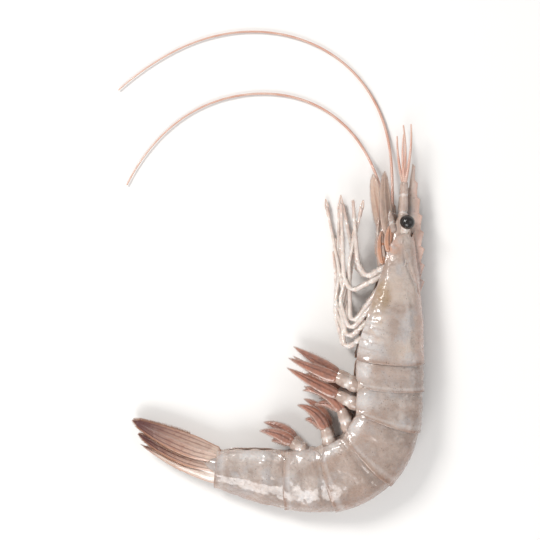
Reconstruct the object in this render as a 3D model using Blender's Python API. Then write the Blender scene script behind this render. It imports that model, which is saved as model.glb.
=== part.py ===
"""A raw head-on prawn that lies on its right flank, bent round the middle of its abdomen.

The drawing space is in millimetres: +X points away from the prawn's back at the carapace, +Y points
forwards along the head, +Z points up and to the left flank. A place on the body is given as
(along, back, side): along runs tailwards on the midline from the eye notch, back is positive towards
the back and negative towards the belly, and side is positive towards the left flank. Headings are
in degrees, counted from +X towards +Y. Meshes hold metres.
"""

import math
from dataclasses import dataclass

import bmesh
import bpy
import numpy as np
from mathutils import Vector

MM = 0.001
NAME = "prawn"

# The eye notch, placed so that the origin is the bottom centre of the prawn's box.
NOTCH_X = 36.455
NOTCH_Y = 10.65

# The midline: the carapace, the six abdominal rings, and how far the body turns at each ring's front.
CARAPACE = 35.0
RINGS = (8.0, 9.0, 11.0, 11.0, 11.0, 20.0)
RING_STARTS = tuple(CARAPACE + sum(RINGS[:i]) for i in range(len(RINGS)))
BODY_END = CARAPACE + sum(RINGS)
HEAD_HEADING = -95.5
RING_TURNS = (0.0, 0.0, 25.0, 31.0, 26.0, 8.0)
TURN_REACH = 14.0

# Body sections: along, reach to the back, reach to the belly, half width.
SECTIONS = (
    (0.0, 3.4, 4.3, 3.3),
    (9.0, 5.5, 5.0, 5.0),
    (16.0, 7.0, 6.8, 6.2),
    (24.0, 8.5, 9.0, 7.1),
    (35.0, 9.6, 11.0, 7.5),
    (48.0, 10.6, 9.9, 7.4),
    (58.0, 12.0, 9.0, 7.3),
    (68.0, 12.0, 8.6, 7.0),
    (79.0, 10.4, 8.4, 6.3),
    (92.0, 8.4, 7.4, 5.3),
    (105.0, 5.1, 5.8, 4.3),
)
SIDE_POWER = 0.82
BELLY_POWER = 0.62
AROUND = 24
RING_STEP = 0.45
LOBE_CUT = 0.12
BELLY_DENT = 0.28
BELLY_DENT_REACH = 0.45
KEEL = 0.6
KEEL_REACH = 0.2

# How high the middle plane lies over the table, at places along the body.
HEIGHTS = ((-30.0, 6.3), (0.0, 6.6), (31.0, 7.2), (60.0, 7.0), (88.0, 5.5), (105.0, 4.6), (130.0, 3.6))

# The mouth parts in front of the carapace's edge, as shares of its first section.
HEAD_REACH = 4.0
HEAD_ROWS = ((-1.0, 0.4), (-0.8, 0.66), (-0.35, 0.76), (-0.05, 0.8))
CARAPACE_ROWS = (0.0, 0.09, 0.19, 0.3, 0.42, 0.54, 0.66, 0.78, 0.9, 0.999)
RING_ROWS = (0.012, 0.2, 0.5, 0.8, 0.988)
EYE_NOTCH = 1.4
CHEEK_SLANT = 6.0

# The rostrum: its upper line stands this far off the skin at its tip, over the notch and at its end.
ROSTRUM_REACH = 19.0
ROSTRUM_THICK = 1.2
ROSTRUM_TIP = 1.2
ROSTRUM_ARCH = 0.9
CREST_REACH = 17.0
CREST_RISE = 1.1
CREST_SINK = -0.4
TEETH = 8
TOOTH_HEIGHT = 1.2
TOOTH_PEAK = 0.85
ROSTRUM_BELOW = ((-19.0, 1.3), (-12.0, 0.9), (-11.0, 0.2), (-6.5, 0.6), (-5.5, -0.1), (0.0, 0.2), (9.0, 3.6))

EYE_RADIUS = 2.1
EYE_PLACE = (-2.6, 1.0, 3.9)
EYE_STALK_ROOT = (1.5, 0.4, 1.2)
EYE_STALK_RADII = (1.5, 1.2, 1.3)


def smooth_step(x):
    """The cubic that rises from 0 at 0 to 1 at 1 with no slope at either end."""
    t = np.clip(x, 0.0, 1.0)
    return t * t * (3.0 - 2.0 * t)


def through(x, knots):
    """A smooth curve through (place, value) knots: cubic pieces that share their slopes."""
    places, values = (np.array(column, float) for column in zip(*knots))
    slopes = np.gradient(values, places)
    i = np.clip(np.searchsorted(places, x) - 1, 0, len(places) - 2)
    span = places[i + 1] - places[i]
    t = np.clip((x - places[i]) / span, 0.0, 1.0)
    rise = smooth_step(t)
    bends = t * (1.0 - t) ** 2 * slopes[i] + t * t * (t - 1.0) * slopes[i + 1]
    return values[i] * (1.0 - rise) + values[i + 1] * rise + bends * span


def direction(heading):
    """The flat unit vector, or array of them, of a heading in degrees."""
    angle = np.radians(heading)
    return np.stack([np.cos(angle), np.sin(angle)], -1)


class Midline:
    """The body's midline: a flat curve that turns smoothly at the front of each ring."""

    STEP = 0.1
    FIRST = -40.0
    LAST = 140.0

    def __init__(self):
        self.places = np.arange(self.FIRST, self.LAST, self.STEP)
        self.headings = np.full_like(self.places, HEAD_HEADING)
        for start, turn in zip(RING_STARTS, RING_TURNS):
            self.headings -= turn * smooth_step((self.places - start) / TURN_REACH + 0.5)
        line = np.cumsum(direction(self.headings), 0) * self.STEP
        notch = [np.interp(0.0, self.places, line[:, i]) for i in (0, 1)]
        self.line = line - notch + [NOTCH_X, NOTCH_Y]

    def heading(self, along):
        """The tailward heading, in degrees."""
        return np.interp(along, self.places, self.headings)

    def place(self, along, back, side):
        """The drawing-space points of places on the body."""
        along, back, side = np.broadcast_arrays(along, back, side)
        outward = direction(self.heading(along) + 90.0)
        x = np.interp(along, self.places, self.line[:, 0]) + outward[..., 0] * back
        y = np.interp(along, self.places, self.line[:, 1]) + outward[..., 1] * back
        return np.stack([x, y, through(along, HEIGHTS) + side], -1)


MIDLINE = Midline()


def reach(along, column):
    """One of the section table's reaches, at places along the body."""
    return through(along, tuple((row[0], row[column]) for row in SECTIONS))


def section(along, angle):
    """(back, side) of the shell at angles round the body, where 0 is the back and pi the belly.

    Each ring widens towards its rear edge and steps in behind it, and its lower edge is a lobe.
    """
    edges = np.array((0.0, *RING_STARTS, BODY_END))
    ring = np.clip(np.searchsorted(edges, along, side="right") - 1, 0, len(edges) - 2)
    share = np.clip((along - edges[ring]) / (edges[ring + 1] - edges[ring]), 0.0, 1.0)
    step = np.where(ring == 0, share**6, share**3 - (1.0 - share) ** 3) * RING_STEP / 2.0
    lobe = np.where(ring == 0, 0.0, np.abs(2.0 * share - 1.0) ** 4) * LOBE_CUT
    cos, sin = np.cos(angle), np.sin(angle)
    above = (reach(along, 1) + step) * np.maximum(cos, 0.0)
    below = (reach(along, 2) + step) * (1.0 - lobe) * np.maximum(-cos, 0.0) ** BELLY_POWER
    dent = BELLY_DENT * np.exp(-(((np.abs(angle) - math.pi) / BELLY_DENT_REACH) ** 2))
    keel = KEEL * np.exp(-((angle / KEEL_REACH) ** 2)) * smooth_step((along - RING_STARTS[2]) / 20.0)
    side = (reach(along, 3) + step) * np.sign(sin) * np.abs(sin) ** SIDE_POWER
    return above - below * (1.0 - dent) + keel, side


def front_edge(angle):
    """Where the carapace's front edge lies: notched at the eye and slanting back to the belly."""
    eye = EYE_NOTCH * np.exp(-(((np.abs(angle) - 0.75) / 0.3) ** 2))
    return eye + CHEEK_SLANT * smooth_step((np.abs(angle) - 1.2) / 1.5)


def material(name, colour, roughness):
    """A plain shaded material."""
    made = bpy.data.materials.new(name)
    made.use_nodes = True
    shader = made.node_tree.nodes["Principled BSDF"]
    shader.inputs["Base Color"].default_value = (*colour, 1.0)
    shader.inputs["Roughness"].default_value = roughness
    shader.inputs["Metallic"].default_value = 0.0
    return made


def add_piece(name, mesh, finish, group):
    """Puts a mesh, welded and facing outwards, into the group as a smooth object."""
    bm = bmesh.new()
    bm.from_mesh(mesh)
    bmesh.ops.remove_doubles(bm, verts=bm.verts, dist=0.001 * MM)
    bmesh.ops.recalc_face_normals(bm, faces=bm.faces)
    bm.to_mesh(mesh)
    bm.free()
    mesh.materials.clear()
    mesh.materials.append(finish)
    mesh.shade_smooth()
    mesh.set_sharp_from_angle(angle=math.radians(40.0))
    group.objects.link(bpy.data.objects.new(name, mesh))


def loft(name, rings, finish, group):
    """A closed skin through rings of equal point count, capped at both ends."""
    bm = bmesh.new()
    rows = [[bm.verts.new(Vector(point) * MM) for point in ring] for ring in rings]
    count = len(rows[0])
    for low, high in zip(rows, rows[1:]):
        for j in range(count):
            k = (j + 1) % count
            bm.faces.new((low[j], low[k], high[k], high[j]))
    for row in (rows[0], rows[-1]):
        middle = bm.verts.new(sum((vert.co for vert in row), Vector()) / count)
        for j in range(count):
            bm.faces.new((row[j], row[(j + 1) % count], middle))
    mesh = bpy.data.meshes.new(name)
    bm.to_mesh(mesh)
    bm.free()
    add_piece(name, mesh, finish, group)


def curve_piece(name, curve, points, finish, group, radii=None, height=0.0):
    """Turns a curve of straight runs through points into a mesh piece, and removes the curve."""
    spline = curve.splines.new("POLY")
    spline.points.add(len(points) - 1)
    spline.points.foreach_set("co", np.column_stack([np.array(points) * MM, np.ones(len(points))]).ravel())
    spline.use_cyclic_u = curve.dimensions == "2D"
    if radii is not None:
        spline.points.foreach_set("radius", np.array(radii, float))
    guide = bpy.data.objects.new(name + "_guide", curve)
    guide.location.z = height * MM
    bpy.context.scene.collection.objects.link(guide)
    bpy.context.view_layer.update()
    graph = bpy.context.evaluated_depsgraph_get()
    mesh = bpy.data.meshes.new_from_object(guide.evaluated_get(graph))
    mesh.transform(guide.matrix_world)
    bpy.data.objects.remove(guide)
    add_piece(name, mesh, finish, group)


def limb(name, points, radii, finish, group):
    """A round limb of six sides through points."""
    curve = bpy.data.curves.new(name, "CURVE")
    curve.dimensions = "3D"
    curve.bevel_depth = MM
    curve.bevel_resolution = 1
    curve.use_fill_caps = True
    curve_piece(name, curve, points, finish, group, radii=radii)


def jointed_line(start, stretches, soften):
    """Points, and their shares of the length, of (length, heading) stretches with rounded corners."""
    lengths, headings = np.array(stretches, float).T
    corners = np.cumsum(lengths)[:-1]
    total = lengths.sum()
    fine = np.linspace(0.0, total, 400)
    heading = headings[0] + sum(
        turn * smooth_step((fine - corner) / soften + 0.5) for corner, turn in zip(corners, np.diff(headings))
    )
    line = np.cumsum(direction(heading), 0) * (fine[1] - fine[0])
    picks = np.array([0.0, total, *(corner + soften * t for corner in corners for t in (-0.5, 0.0, 0.5))])
    picks = np.unique(np.clip(picks, 0.0, total))
    return start + np.stack([np.interp(picks, fine, line[:, i]) for i in (0, 1)], 1), picks / total


def swept_line(start, length, headings, count):
    """Points, and their shares of the length, of a line whose heading passes smoothly through headings."""
    fine = np.linspace(0.0, 1.0, 400)
    knots = tuple(zip(np.linspace(0.0, 1.0, len(headings)), headings))
    line = np.cumsum(direction(through(fine, knots)), 0) * length / len(fine)
    picks = np.linspace(0.0, 1.0, count)
    return start + np.stack([np.interp(picks, fine, line[:, i]) for i in (0, 1)], 1), picks


# Every leaf closes over this steep an end, thins by this share towards its tip, and points by this power.
LEAF_END = 14.0
LEAF_THINNING = 0.6
LEAF_POINT = 1.8


@dataclass(frozen=True)
class Blade:
    """A thin leaf: it leaves its root at the first heading and height and reaches its tip at the last."""

    root: tuple
    headings: tuple
    length: float
    half_width: float
    thick: float
    drop: float = 0.0
    roll: float = 0.0
    widest: float = 0.5
    stem: float = 0.4
    blunt: float = 0.5

    def outline(self, share):
        """Half width at a share of the length: a rounded rise to the widest place, then a point."""
        rise = self.stem + (1.0 - self.stem) * smooth_step(share / self.widest)
        past = np.clip((share - self.widest) / (1.0 - self.widest), 0.0, 1.0)
        return self.half_width * rise * (1.0 - past**LEAF_POINT) ** self.blunt

    def build(self, name, finish, group, rows=8, around=8):
        """Shapes the leaf from a sphere, whose poles become its root and its tip."""
        bm = bmesh.new()
        bmesh.ops.create_uvsphere(bm, u_segments=around, v_segments=rows, radius=1.0)
        places = np.array([vert.co[:] for vert in bm.verts])
        share = 0.5 + np.arcsin(np.clip(places[:, 2], -1.0, 1.0)) / math.pi
        rim = np.maximum(np.hypot(places[:, 0], places[:, 1]), 1e-6)
        end = np.minimum(1.0, LEAF_END * share * (1.0 - share))
        across = places[:, 0] / rim * self.outline(share) * end
        up = places[:, 1] / rim * self.thick * (1.0 - LEAF_THINNING * share) * end
        roll = math.radians(self.roll)
        flat = across * math.cos(roll) - up * math.sin(roll)
        high = across * math.sin(roll) + up * math.cos(roll)
        fine = np.linspace(0.0, 1.0, 60)
        heading = self.headings[0] + (self.headings[1] - self.headings[0]) * fine
        line = np.cumsum(direction(heading), 0) * self.length / len(fine)
        left = direction(np.interp(share, fine, heading) + 90.0)
        x = self.root[0] + np.interp(share, fine, line[:, 0]) + left[:, 0] * flat
        y = self.root[1] + np.interp(share, fine, line[:, 1]) + left[:, 1] * flat
        z = self.root[2] - self.drop * share + high
        for vert, place in zip(bm.verts, np.stack([x, y, z], 1) * MM):
            vert.co = place
        mesh = bpy.data.meshes.new(name)
        bm.to_mesh(mesh)
        bm.free()
        add_piece(name, mesh, finish, group)


def body(group, finishes):
    """The carapace and the six rings as one skin."""
    angle = np.linspace(-math.pi, math.pi, AROUND, endpoint=False)
    edge = front_edge(angle)
    rings = []
    for ahead, size in HEAD_ROWS:
        back, side = section(edge, angle)
        along = edge * (1.0 + ahead) + HEAD_REACH * ahead
        rings.append(MIDLINE.place(along, back * size, side * size))
    for share in CARAPACE_ROWS:
        along = CARAPACE * share + edge * (1.0 - share) ** 3
        rings.append(MIDLINE.place(along, *section(along, angle)))
    for start, length in zip(RING_STARTS, RINGS):
        for share in RING_ROWS:
            along = np.full_like(angle, start + share * length)
            rings.append(MIDLINE.place(along, *section(along, angle)))
    loft("body", rings, finishes["shell"], group)


def rostrum(group, finishes):
    """The flat toothed blade over the eyes and its crest on the carapace."""
    crest = reach(np.array([0.0, CREST_REACH]), 1) + (CREST_RISE, CREST_SINK)
    outline = []
    for tooth in range(TEETH):
        for rise in (0.0, TOOTH_PEAK):
            share = (tooth + rise) / TEETH
            along = CREST_REACH - (CREST_REACH + ROSTRUM_REACH) * share
            line = np.interp(along, (-ROSTRUM_REACH, 0.0, CREST_REACH), (ROSTRUM_TIP, *crest))
            lift = TOOTH_HEIGHT * (1.0 - 0.5 * share) if rise else 0.0
            outline.append((along, line + lift + ROSTRUM_ARCH * math.sin(math.pi * share)))
    outline += ROSTRUM_BELOW
    points = [MIDLINE.place(along, back, 0.0) * (1.0, 1.0, 0.0) for along, back in outline]
    curve = bpy.data.curves.new("rostrum", "CURVE")
    curve.dimensions = "2D"
    curve.fill_mode = "BOTH"
    curve.extrude = ROSTRUM_THICK / 2.0 * MM
    height = float(through(EYE_PLACE[0], HEIGHTS))
    curve_piece("rostrum", curve, points, finishes["shell"], group, height=height)


def both_sides(place, side):
    """The drawing-space point of a (along, back, side) place on the flank that side names."""
    return MIDLINE.place(place[0], place[1], side * place[2])


def eyes(group, finishes):
    """Two round eyes on short stalks beside the rostrum."""
    for side in (1, -1):
        root = both_sides(EYE_STALK_ROOT, side)
        centre = both_sides(EYE_PLACE, side)
        stalk = [root, (root + centre) / 2.0, centre]
        limb(f"eye_stalk_{side}", stalk, EYE_STALK_RADII, finishes["shell"], group)
        bpy.ops.mesh.primitive_uv_sphere_add(segments=12, ring_count=8, radius=EYE_RADIUS * MM)
        ball = bpy.context.object
        mesh = ball.data.copy()
        mesh.transform(ball.matrix_world)
        bpy.data.objects.remove(ball)
        for vert in mesh.vertices:
            vert.co += Vector(centre) * MM
        add_piece(f"eye_{side}", mesh, finishes["eye"], group)


@dataclass(frozen=True)
class Leg:
    """One walking leg: where it leaves the belly, its (length, heading) stretches and its thickness."""

    along: float
    stretches: tuple
    radius: float


# The third jaw leg and the five walking legs, all folded forwards.
LEGS = (
    Leg(9.5, ((4.5, 210.0), (4.0, 122.0), (18.0, 94.0)), 0.95),
    Leg(12.0, ((8.0, 208.0), (4.0, 118.0), (23.0, 92.0)), 0.8),
    Leg(15.5, ((10.0, 234.0), (16.0, 91.0), (18.0, 77.0)), 0.8),
    Leg(20.5, ((7.0, 229.0), (8.0, 107.0), (10.0, 74.0), (11.0, 82.0)), 0.8),
    Leg(25.5, ((4.5, 222.0), (8.0, 100.0), (12.0, 76.0), (8.0, 86.0)), 0.76),
    Leg(30.0, ((3.0, 216.0), (9.0, 92.0), (11.0, 77.0), (7.0, 84.0)), 0.76),
)
LEG_DEPTH = 2.4
LEG_SIDE = 2.4
LEG_SOFTEN = 4.0
LEG_ROOT_RADIUS = 1.05
LEG_TAPER = 0.6
LEG_FALL = 1.4
RIGHT_LEG_SWING = (7.0, 9.0, 11.0, 8.0, 10.0, 12.0)
RIGHT_LEG_HEIGHT = 1.2
LEFT_LEG_HEIGHTS = (7.6, 7.25, 6.9, 6.55, 6.2, 5.85)


def legs(group, finishes):
    """Six legs on each side; the left ones lie over the right ones, which reach the table."""
    for side in (1, -1):
        for i, leg in enumerate(LEGS):
            swing = RIGHT_LEG_SWING[i] if side < 0 else 0.0
            rest_height = RIGHT_LEG_HEIGHT if side < 0 else LEFT_LEG_HEIGHTS[i]
            root = MIDLINE.place(leg.along, LEG_DEPTH - reach(leg.along, 2), side * LEG_SIDE)
            first = (leg.stretches[0][0] + LEG_DEPTH, leg.stretches[0][1])
            rest = [(length, heading + swing) for length, heading in leg.stretches[1:]]
            points, share = jointed_line(root[:2], (first, *rest), LEG_SOFTEN)
            height = root[2] + (rest_height - root[2]) * smooth_step(share * LEG_FALL)
            radii = leg.radius * (LEG_ROOT_RADIUS - LEG_TAPER * share)
            limb(f"leg_{side}_{i}", np.column_stack([points, height]), radii, finishes["leg"], group)


@dataclass(frozen=True)
class Pleopod:
    """One swimming leg: where it leaves the belly, its headings at the stem and the tip, and its lengths."""

    along: float
    first: float
    last: float
    stem: float
    blade: float


PLEOPODS = (
    Pleopod(44.0, 158.0, 157.0, 4.5, 15.5),
    Pleopod(50.0, 153.0, 151.0, 4.5, 17.0),
    Pleopod(61.0, 110.0, 192.0, 4.5, 14.0),
    Pleopod(70.5, 104.0, 172.0, 3.2, 11.5),
    Pleopod(79.5, 138.0, 182.0, 2.6, 10.5),
)
PLEOPOD_DEPTH = 3.0
PLEOPOD_SIDE = 2.9
PLEOPOD_DIP = -0.12
PLEOPOD_KNEE = 0.6
PLEOPOD_STEM_RADII = (2.0, 1.9, 1.45)
BLADE_START = 0.8
OUTER_BLADE = {"half_width": 1.75, "thick": 1.15, "drop": 0.8, "widest": 0.2, "stem": 0.8, "blunt": 1.0}
OUTER_BLADE_ROLL = 24.0
INNER_BLADE = {"half_width": 1.25, "thick": 0.9, "drop": 1.2, "widest": 0.25, "stem": 0.8, "blunt": 1.0}
INNER_BLADE_ROLL = 14.0
RIGHT_PLEOPOD_SWING = (9.0, 8.0)
INNER_BLADE_SWING = (14.0, 12.0)
INNER_BLADE_SHARE = 0.62


def pleopods(group, finishes):
    """Five pairs of swimming legs: a stout stem, a long outer blade and a short inner one."""
    finish = finishes["pleopod"]
    for side in (1, -1):
        swing = RIGHT_PLEOPOD_SWING if side < 0 else (0.0, 0.0)
        for i, leg in enumerate(PLEOPODS):
            root = MIDLINE.place(leg.along, PLEOPOD_DEPTH - reach(leg.along, 2), side * PLEOPOD_SIDE)
            first, last = leg.first - swing[0], leg.last - swing[1]
            stem = np.array([*direction(first), PLEOPOD_DIP]) * (leg.stem + PLEOPOD_DEPTH)
            line = [root, root + stem * PLEOPOD_KNEE, root + stem]
            limb(f"pleopod_stem_{side}_{i}", line, PLEOPOD_STEM_RADII, finish, group)
            start = tuple(root + stem * BLADE_START)
            outer = Blade(start, (first, last), leg.blade, roll=side * OUTER_BLADE_ROLL, **OUTER_BLADE)
            turned = (first + INNER_BLADE_SWING[0], last + INNER_BLADE_SWING[1])
            shorter = leg.blade * INNER_BLADE_SHARE
            inner = Blade(start, turned, shorter, roll=side * INNER_BLADE_ROLL, **INNER_BLADE)
            outer.build(f"pleopod_outer_{side}_{i}", finish, group)
            inner.build(f"pleopod_inner_{side}_{i}", finish, group, rows=6, around=6)


# The tail: where its blades leave the last ring, and its two stems' line and thickness.
TAIL_ROOT = BODY_END - 2.5
TAIL_STEM = ((BODY_END - 5.0, -0.8, 1.7), (BODY_END, -1.0, 1.7), (BODY_END + 3.0, -1.6, 1.7))
TAIL_STEM_RADII = (2.3, 2.3, 1.5)
TELSON_ROOT = (TAIL_ROOT, 2.9, 0.6)
TELSON = {"half_width": 2.2, "thick": 1.6, "drop": 0.8, "widest": 0.15, "stem": 0.9, "blunt": 1.0}
TELSON_ROLL = 12.0
OUTER_TAIL_ROOT = (TAIL_ROOT, -2.9, 1.9)
OUTER_TAIL = {"half_width": 3.2, "thick": 0.9, "drop": 0.6, "widest": 0.36, "stem": 0.7, "blunt": 0.68}
OUTER_TAIL_ROLL = 24.0
INNER_TAIL_ROOT = (TAIL_ROOT, 0.3, 1.1)
INNER_TAIL = {"half_width": 2.8, "thick": 0.85, "drop": 0.6, "widest": 0.4, "stem": 0.55, "blunt": 0.75}
INNER_TAIL_ROLL = 32.0


def tail_fan(group, finishes):
    """The pointed telson and the four tail blades, half closed round it."""
    finish = finishes["tail"]
    telson = Blade(both_sides(TELSON_ROOT, 1), (164.0, 152.0), 25.0, roll=TELSON_ROLL, **TELSON)
    telson.build("telson", finish, group)
    for side in (1, -1):
        stem = [both_sides(place, side) for place in TAIL_STEM]
        limb(f"tail_stem_{side}", stem, TAIL_STEM_RADII, finish, group)
        outer_root = both_sides(OUTER_TAIL_ROOT, side)
        outer = Blade(outer_root, (163.0, 153.0), 28.0, roll=side * OUTER_TAIL_ROLL, **OUTER_TAIL)
        inner_root = both_sides(INNER_TAIL_ROOT, side)
        inner = Blade(inner_root, (164.0, 152.0), 26.0, roll=side * INNER_TAIL_ROLL, **INNER_TAIL)
        outer.build(f"tail_outer_{side}", finish, group)
        inner.build(f"tail_inner_{side}", finish, group)


# The feelers, of the left side and of the right one.
SCALE_ROOT = (4.5, -2.6, 1.9)
SCALE_HEADINGS = {1: (102.0, 88.0), -1: (110.0, 96.0)}
SCALE_LENGTH = 21.0
SCALE = {"half_width": 2.7, "thick": 0.8, "widest": 0.35, "stem": 0.55, "blunt": 0.6}
SCALE_RISE = 0.5
SCALE_ROLL = 46.0
ANTENNA_ROOT = (1.0, -2.4, 1.9)
ANTENNA_HEADINGS = {
    1: (102.0, 110.0, 140.0, 172.0, 198.0, 224.0, 244.0),
    -1: (88.0, 94.0, 122.0, 154.0, 182.0, 206.0, 222.0),
}
ANTENNA_LENGTHS = {1: 108.0, -1: 122.0}
ANTENNA_RADIUS = 0.42
ANTENNA_CLEAR = 0.3
ANTENNA_FALL = 3.6
ANTENNA_TAPER = 0.3
ANTENNA_BASE_RADIUS = 1.0
ANTENNA_BASE_END = 9.0
ANTENNA_BASE_TAPER = 4.0
STALK_ROOT = (1.0, 0.2, 1.1)
STALK_END = (-14.0, -0.6, 1.9)
STALK_RADII = (1.5, 1.3, 0.9)
ANTENNULE_HEADINGS = ((80.0, 86.0, 96.0), (101.0, 94.0, 86.0))
ANTENNULE_SPLAY = 3.0
ANTENNULE_LENGTHS = (17.0, 14.0)
ANTENNULE_RADIUS = 0.52
ANTENNULE_TAPER = 0.2
ANTENNULE_ROOT = (0.0, 1.0)
ANTENNULE_LIFT = 0.3
ANTENNULE_DROP = 1.4


def feelers(group, finishes):
    """The antennal scales, the two long antennae, and the antennules with two short feelers each."""
    finish = finishes["feeler"]
    for side in (1, -1):
        root = both_sides(SCALE_ROOT, side)
        lean = {"drop": -side * SCALE_RISE, "roll": side * SCALE_ROLL}
        scale = Blade(root, SCALE_HEADINGS[side], SCALE_LENGTH, **SCALE, **lean)
        scale.build(f"scale_{side}", finishes["scale"], group)
        base = both_sides(ANTENNA_ROOT, side)
        points, share = swept_line(base[:2], ANTENNA_LENGTHS[side], ANTENNA_HEADINGS[side], 44)
        lowest = ANTENNA_RADIUS + ANTENNA_CLEAR
        height = lowest + (base[2] - lowest) * (1.0 - smooth_step(share * ANTENNA_FALL))
        taper = smooth_step((ANTENNA_BASE_END - share * ANTENNA_LENGTHS[side]) / ANTENNA_BASE_TAPER)
        radii = ANTENNA_RADIUS * (1.0 - ANTENNA_TAPER * share) + ANTENNA_BASE_RADIUS * taper
        limb(f"antenna_{side}", np.column_stack([points, height]), radii, finish, group)
        stalk = both_sides(STALK_ROOT, side)
        knee = both_sides(STALK_END, side)
        line = [stalk, (stalk + knee) / 2.0, knee]
        limb(f"antennule_stalk_{side}", line, STALK_RADII, finishes["leg"], group)
        for fork, headings in enumerate(ANTENNULE_HEADINGS):
            bend = [heading - ANTENNULE_SPLAY * side for heading in headings]
            points, share = swept_line(knee[:2] - ANTENNULE_ROOT, ANTENNULE_LENGTHS[fork], bend, 9)
            height = knee[2] + side * ANTENNULE_LIFT - ANTENNULE_DROP * share
            radii = ANTENNULE_RADIUS - ANTENNULE_TAPER * share
            limb(f"antennule_{side}_{fork}", np.column_stack([points, height]), radii, finish, group)


def applied(obj):
    """A new mesh of the object with its modifiers applied."""
    bpy.context.view_layer.update()
    return bpy.data.meshes.new_from_object(obj.evaluated_get(bpy.context.evaluated_depsgraph_get()))


def largest_island(bm):
    """Deletes every island of faces but the one with the most faces."""
    left = set(bm.faces)
    islands = []
    while left:
        front = [left.pop()]
        island = []
        while front:
            face = front.pop()
            island.append(face)
            near = {other for edge in face.edges for other in edge.link_faces} & left
            left -= near
            front.extend(near)
        islands.append(island)
    islands.sort(key=len)
    scraps = [face for island in islands[:-1] for face in island]
    bmesh.ops.delete(bm, geom=scraps, context="FACES")


def join(group, table):
    """One solid of all the pieces, cut flat by the table where the prawn rests, without loose scraps."""
    host = group.objects["body"]
    group.objects.unlink(host)
    bpy.context.scene.collection.objects.link(host)
    union = host.modifiers.new("union", "BOOLEAN")
    union.operation = "UNION"
    union.solver = "MANIFOLD"
    union.operand_type = "COLLECTION"
    union.collection = group
    rest = host.modifiers.new("rest", "BOOLEAN")
    rest.operation = "DIFFERENCE"
    rest.solver = "MANIFOLD"
    rest.object = table
    mesh = applied(host)
    for obj in (host, *group.objects):
        bpy.data.objects.remove(obj)
    bm = bmesh.new()
    bm.from_mesh(mesh)
    largest_island(bm)
    bmesh.ops.triangulate(bm, faces=bm.faces)
    bmesh.ops.dissolve_degenerate(bm, edges=bm.edges, dist=0.01 * MM)
    bm.to_mesh(mesh)
    bm.free()
    mesh.name = NAME
    group.objects.link(bpy.data.objects.new(NAME, mesh))


def table_cutter(group):
    """A block under the table's surface, which flattens the flank that the prawn lies on."""
    bpy.ops.mesh.primitive_cube_add(size=1.0)
    table = bpy.context.object
    table.name = "table_cutter"
    table.scale = (0.4, 0.4, 0.02)
    table.location.z = -0.01
    table.hide_render = True
    table.display_type = "WIRE"
    for holder in list(table.users_collection):
        holder.objects.unlink(table)
    group.objects.link(table)
    return table


def main():
    """Models the prawn in an empty scene."""
    for obj in list(bpy.data.objects):
        bpy.data.objects.remove(obj)
    finishes = {
        "shell": material("grey_shell", (0.47, 0.40, 0.35), 0.25),
        "leg": material("pale_leg", (0.66, 0.57, 0.52), 0.3),
        "pleopod": material("orange_pleopod", (0.43, 0.24, 0.18), 0.35),
        "scale": material("orange_scale", (0.42, 0.2, 0.14), 0.3),
        "feeler": material("pink_feeler", (0.48, 0.26, 0.2), 0.35),
        "tail": material("brown_tail", (0.36, 0.24, 0.2), 0.3),
        "eye": material("black_eye", (0.02, 0.015, 0.012), 0.15),
    }
    group = bpy.data.collections.new("raw_prawn")
    cutters = bpy.data.collections.new("cutters")
    for collection in (group, cutters):
        bpy.context.scene.collection.children.link(collection)
    for build in (body, rostrum, eyes, legs, pleopods, tail_fan, feelers):
        build(group, finishes)
    join(group, table_cutter(cutters))


if __name__ == "__main__":
    main()
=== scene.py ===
"""The looks of a raw prawn: shell plates, head, limbs, swimming legs, tail fan and feelers.

Lengths are in millimetres until a mesh is made, which holds metres. A place on the body is given as
(along, back, side): along runs tailwards on the midline from the eye notch, back is positive towards
the back, and side is positive towards the left flank. Headings are degrees from +X towards +Y. Angles
round the body are radians from the back at 0 to the belly at pi, negative on the right flank.
"""

import logging
import math
from collections.abc import Callable
from dataclasses import dataclass, replace
from enum import Enum

import bmesh
import bpy
import numpy as np
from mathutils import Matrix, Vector


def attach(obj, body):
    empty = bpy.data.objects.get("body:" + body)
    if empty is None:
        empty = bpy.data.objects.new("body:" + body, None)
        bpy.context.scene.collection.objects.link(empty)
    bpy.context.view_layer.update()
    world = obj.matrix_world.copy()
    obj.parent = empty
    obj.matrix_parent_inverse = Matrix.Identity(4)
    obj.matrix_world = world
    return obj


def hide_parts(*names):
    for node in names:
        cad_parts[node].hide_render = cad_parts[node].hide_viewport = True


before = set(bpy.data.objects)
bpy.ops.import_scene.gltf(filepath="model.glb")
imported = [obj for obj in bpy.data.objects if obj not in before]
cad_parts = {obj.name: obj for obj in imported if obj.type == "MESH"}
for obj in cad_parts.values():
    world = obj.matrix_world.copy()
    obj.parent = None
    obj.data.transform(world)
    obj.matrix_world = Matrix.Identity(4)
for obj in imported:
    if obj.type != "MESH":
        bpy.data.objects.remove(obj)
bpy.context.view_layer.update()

LOG = logging.getLogger("prawn")
MM = 0.001
BODY = "root"
SOLID = "prawn"
UP = (0.0, 0.0, 1.0)
WELD_DISTANCE = 0.0001
TABLE_SOFTNESS = 0.02
RIPPLE_PITCHES = (0.6, 1.9)
HAIR_SIDES = 3
HAIR_LEVELS = np.array([0.0, 0.08, 0.55, 1.0])
HAIR_SIZES = np.array([0.0, 1.0, 0.6, 0.0])
HAIR_POINTS = HAIR_SIDES * len(HAIR_LEVELS)
BRISTLE_ROOT = 0.8
BRISTLE_LEAN = (0.9, 1.1)
BRISTLE_REACH = (0.6, 1.1)
BRISTLE_RADIUS = 0.055
Array = np.ndarray
Colour = tuple[float, float, float]
Pair = tuple[float, float]


class Side(Enum):
    """The two flanks: the left one faces up and the right one lies on the table."""

    LEFT = 1
    RIGHT = -1

    @property
    def word(self) -> str:
        """The flank's name as it stands in the names of pieces."""
        return self.name.lower()


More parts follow.
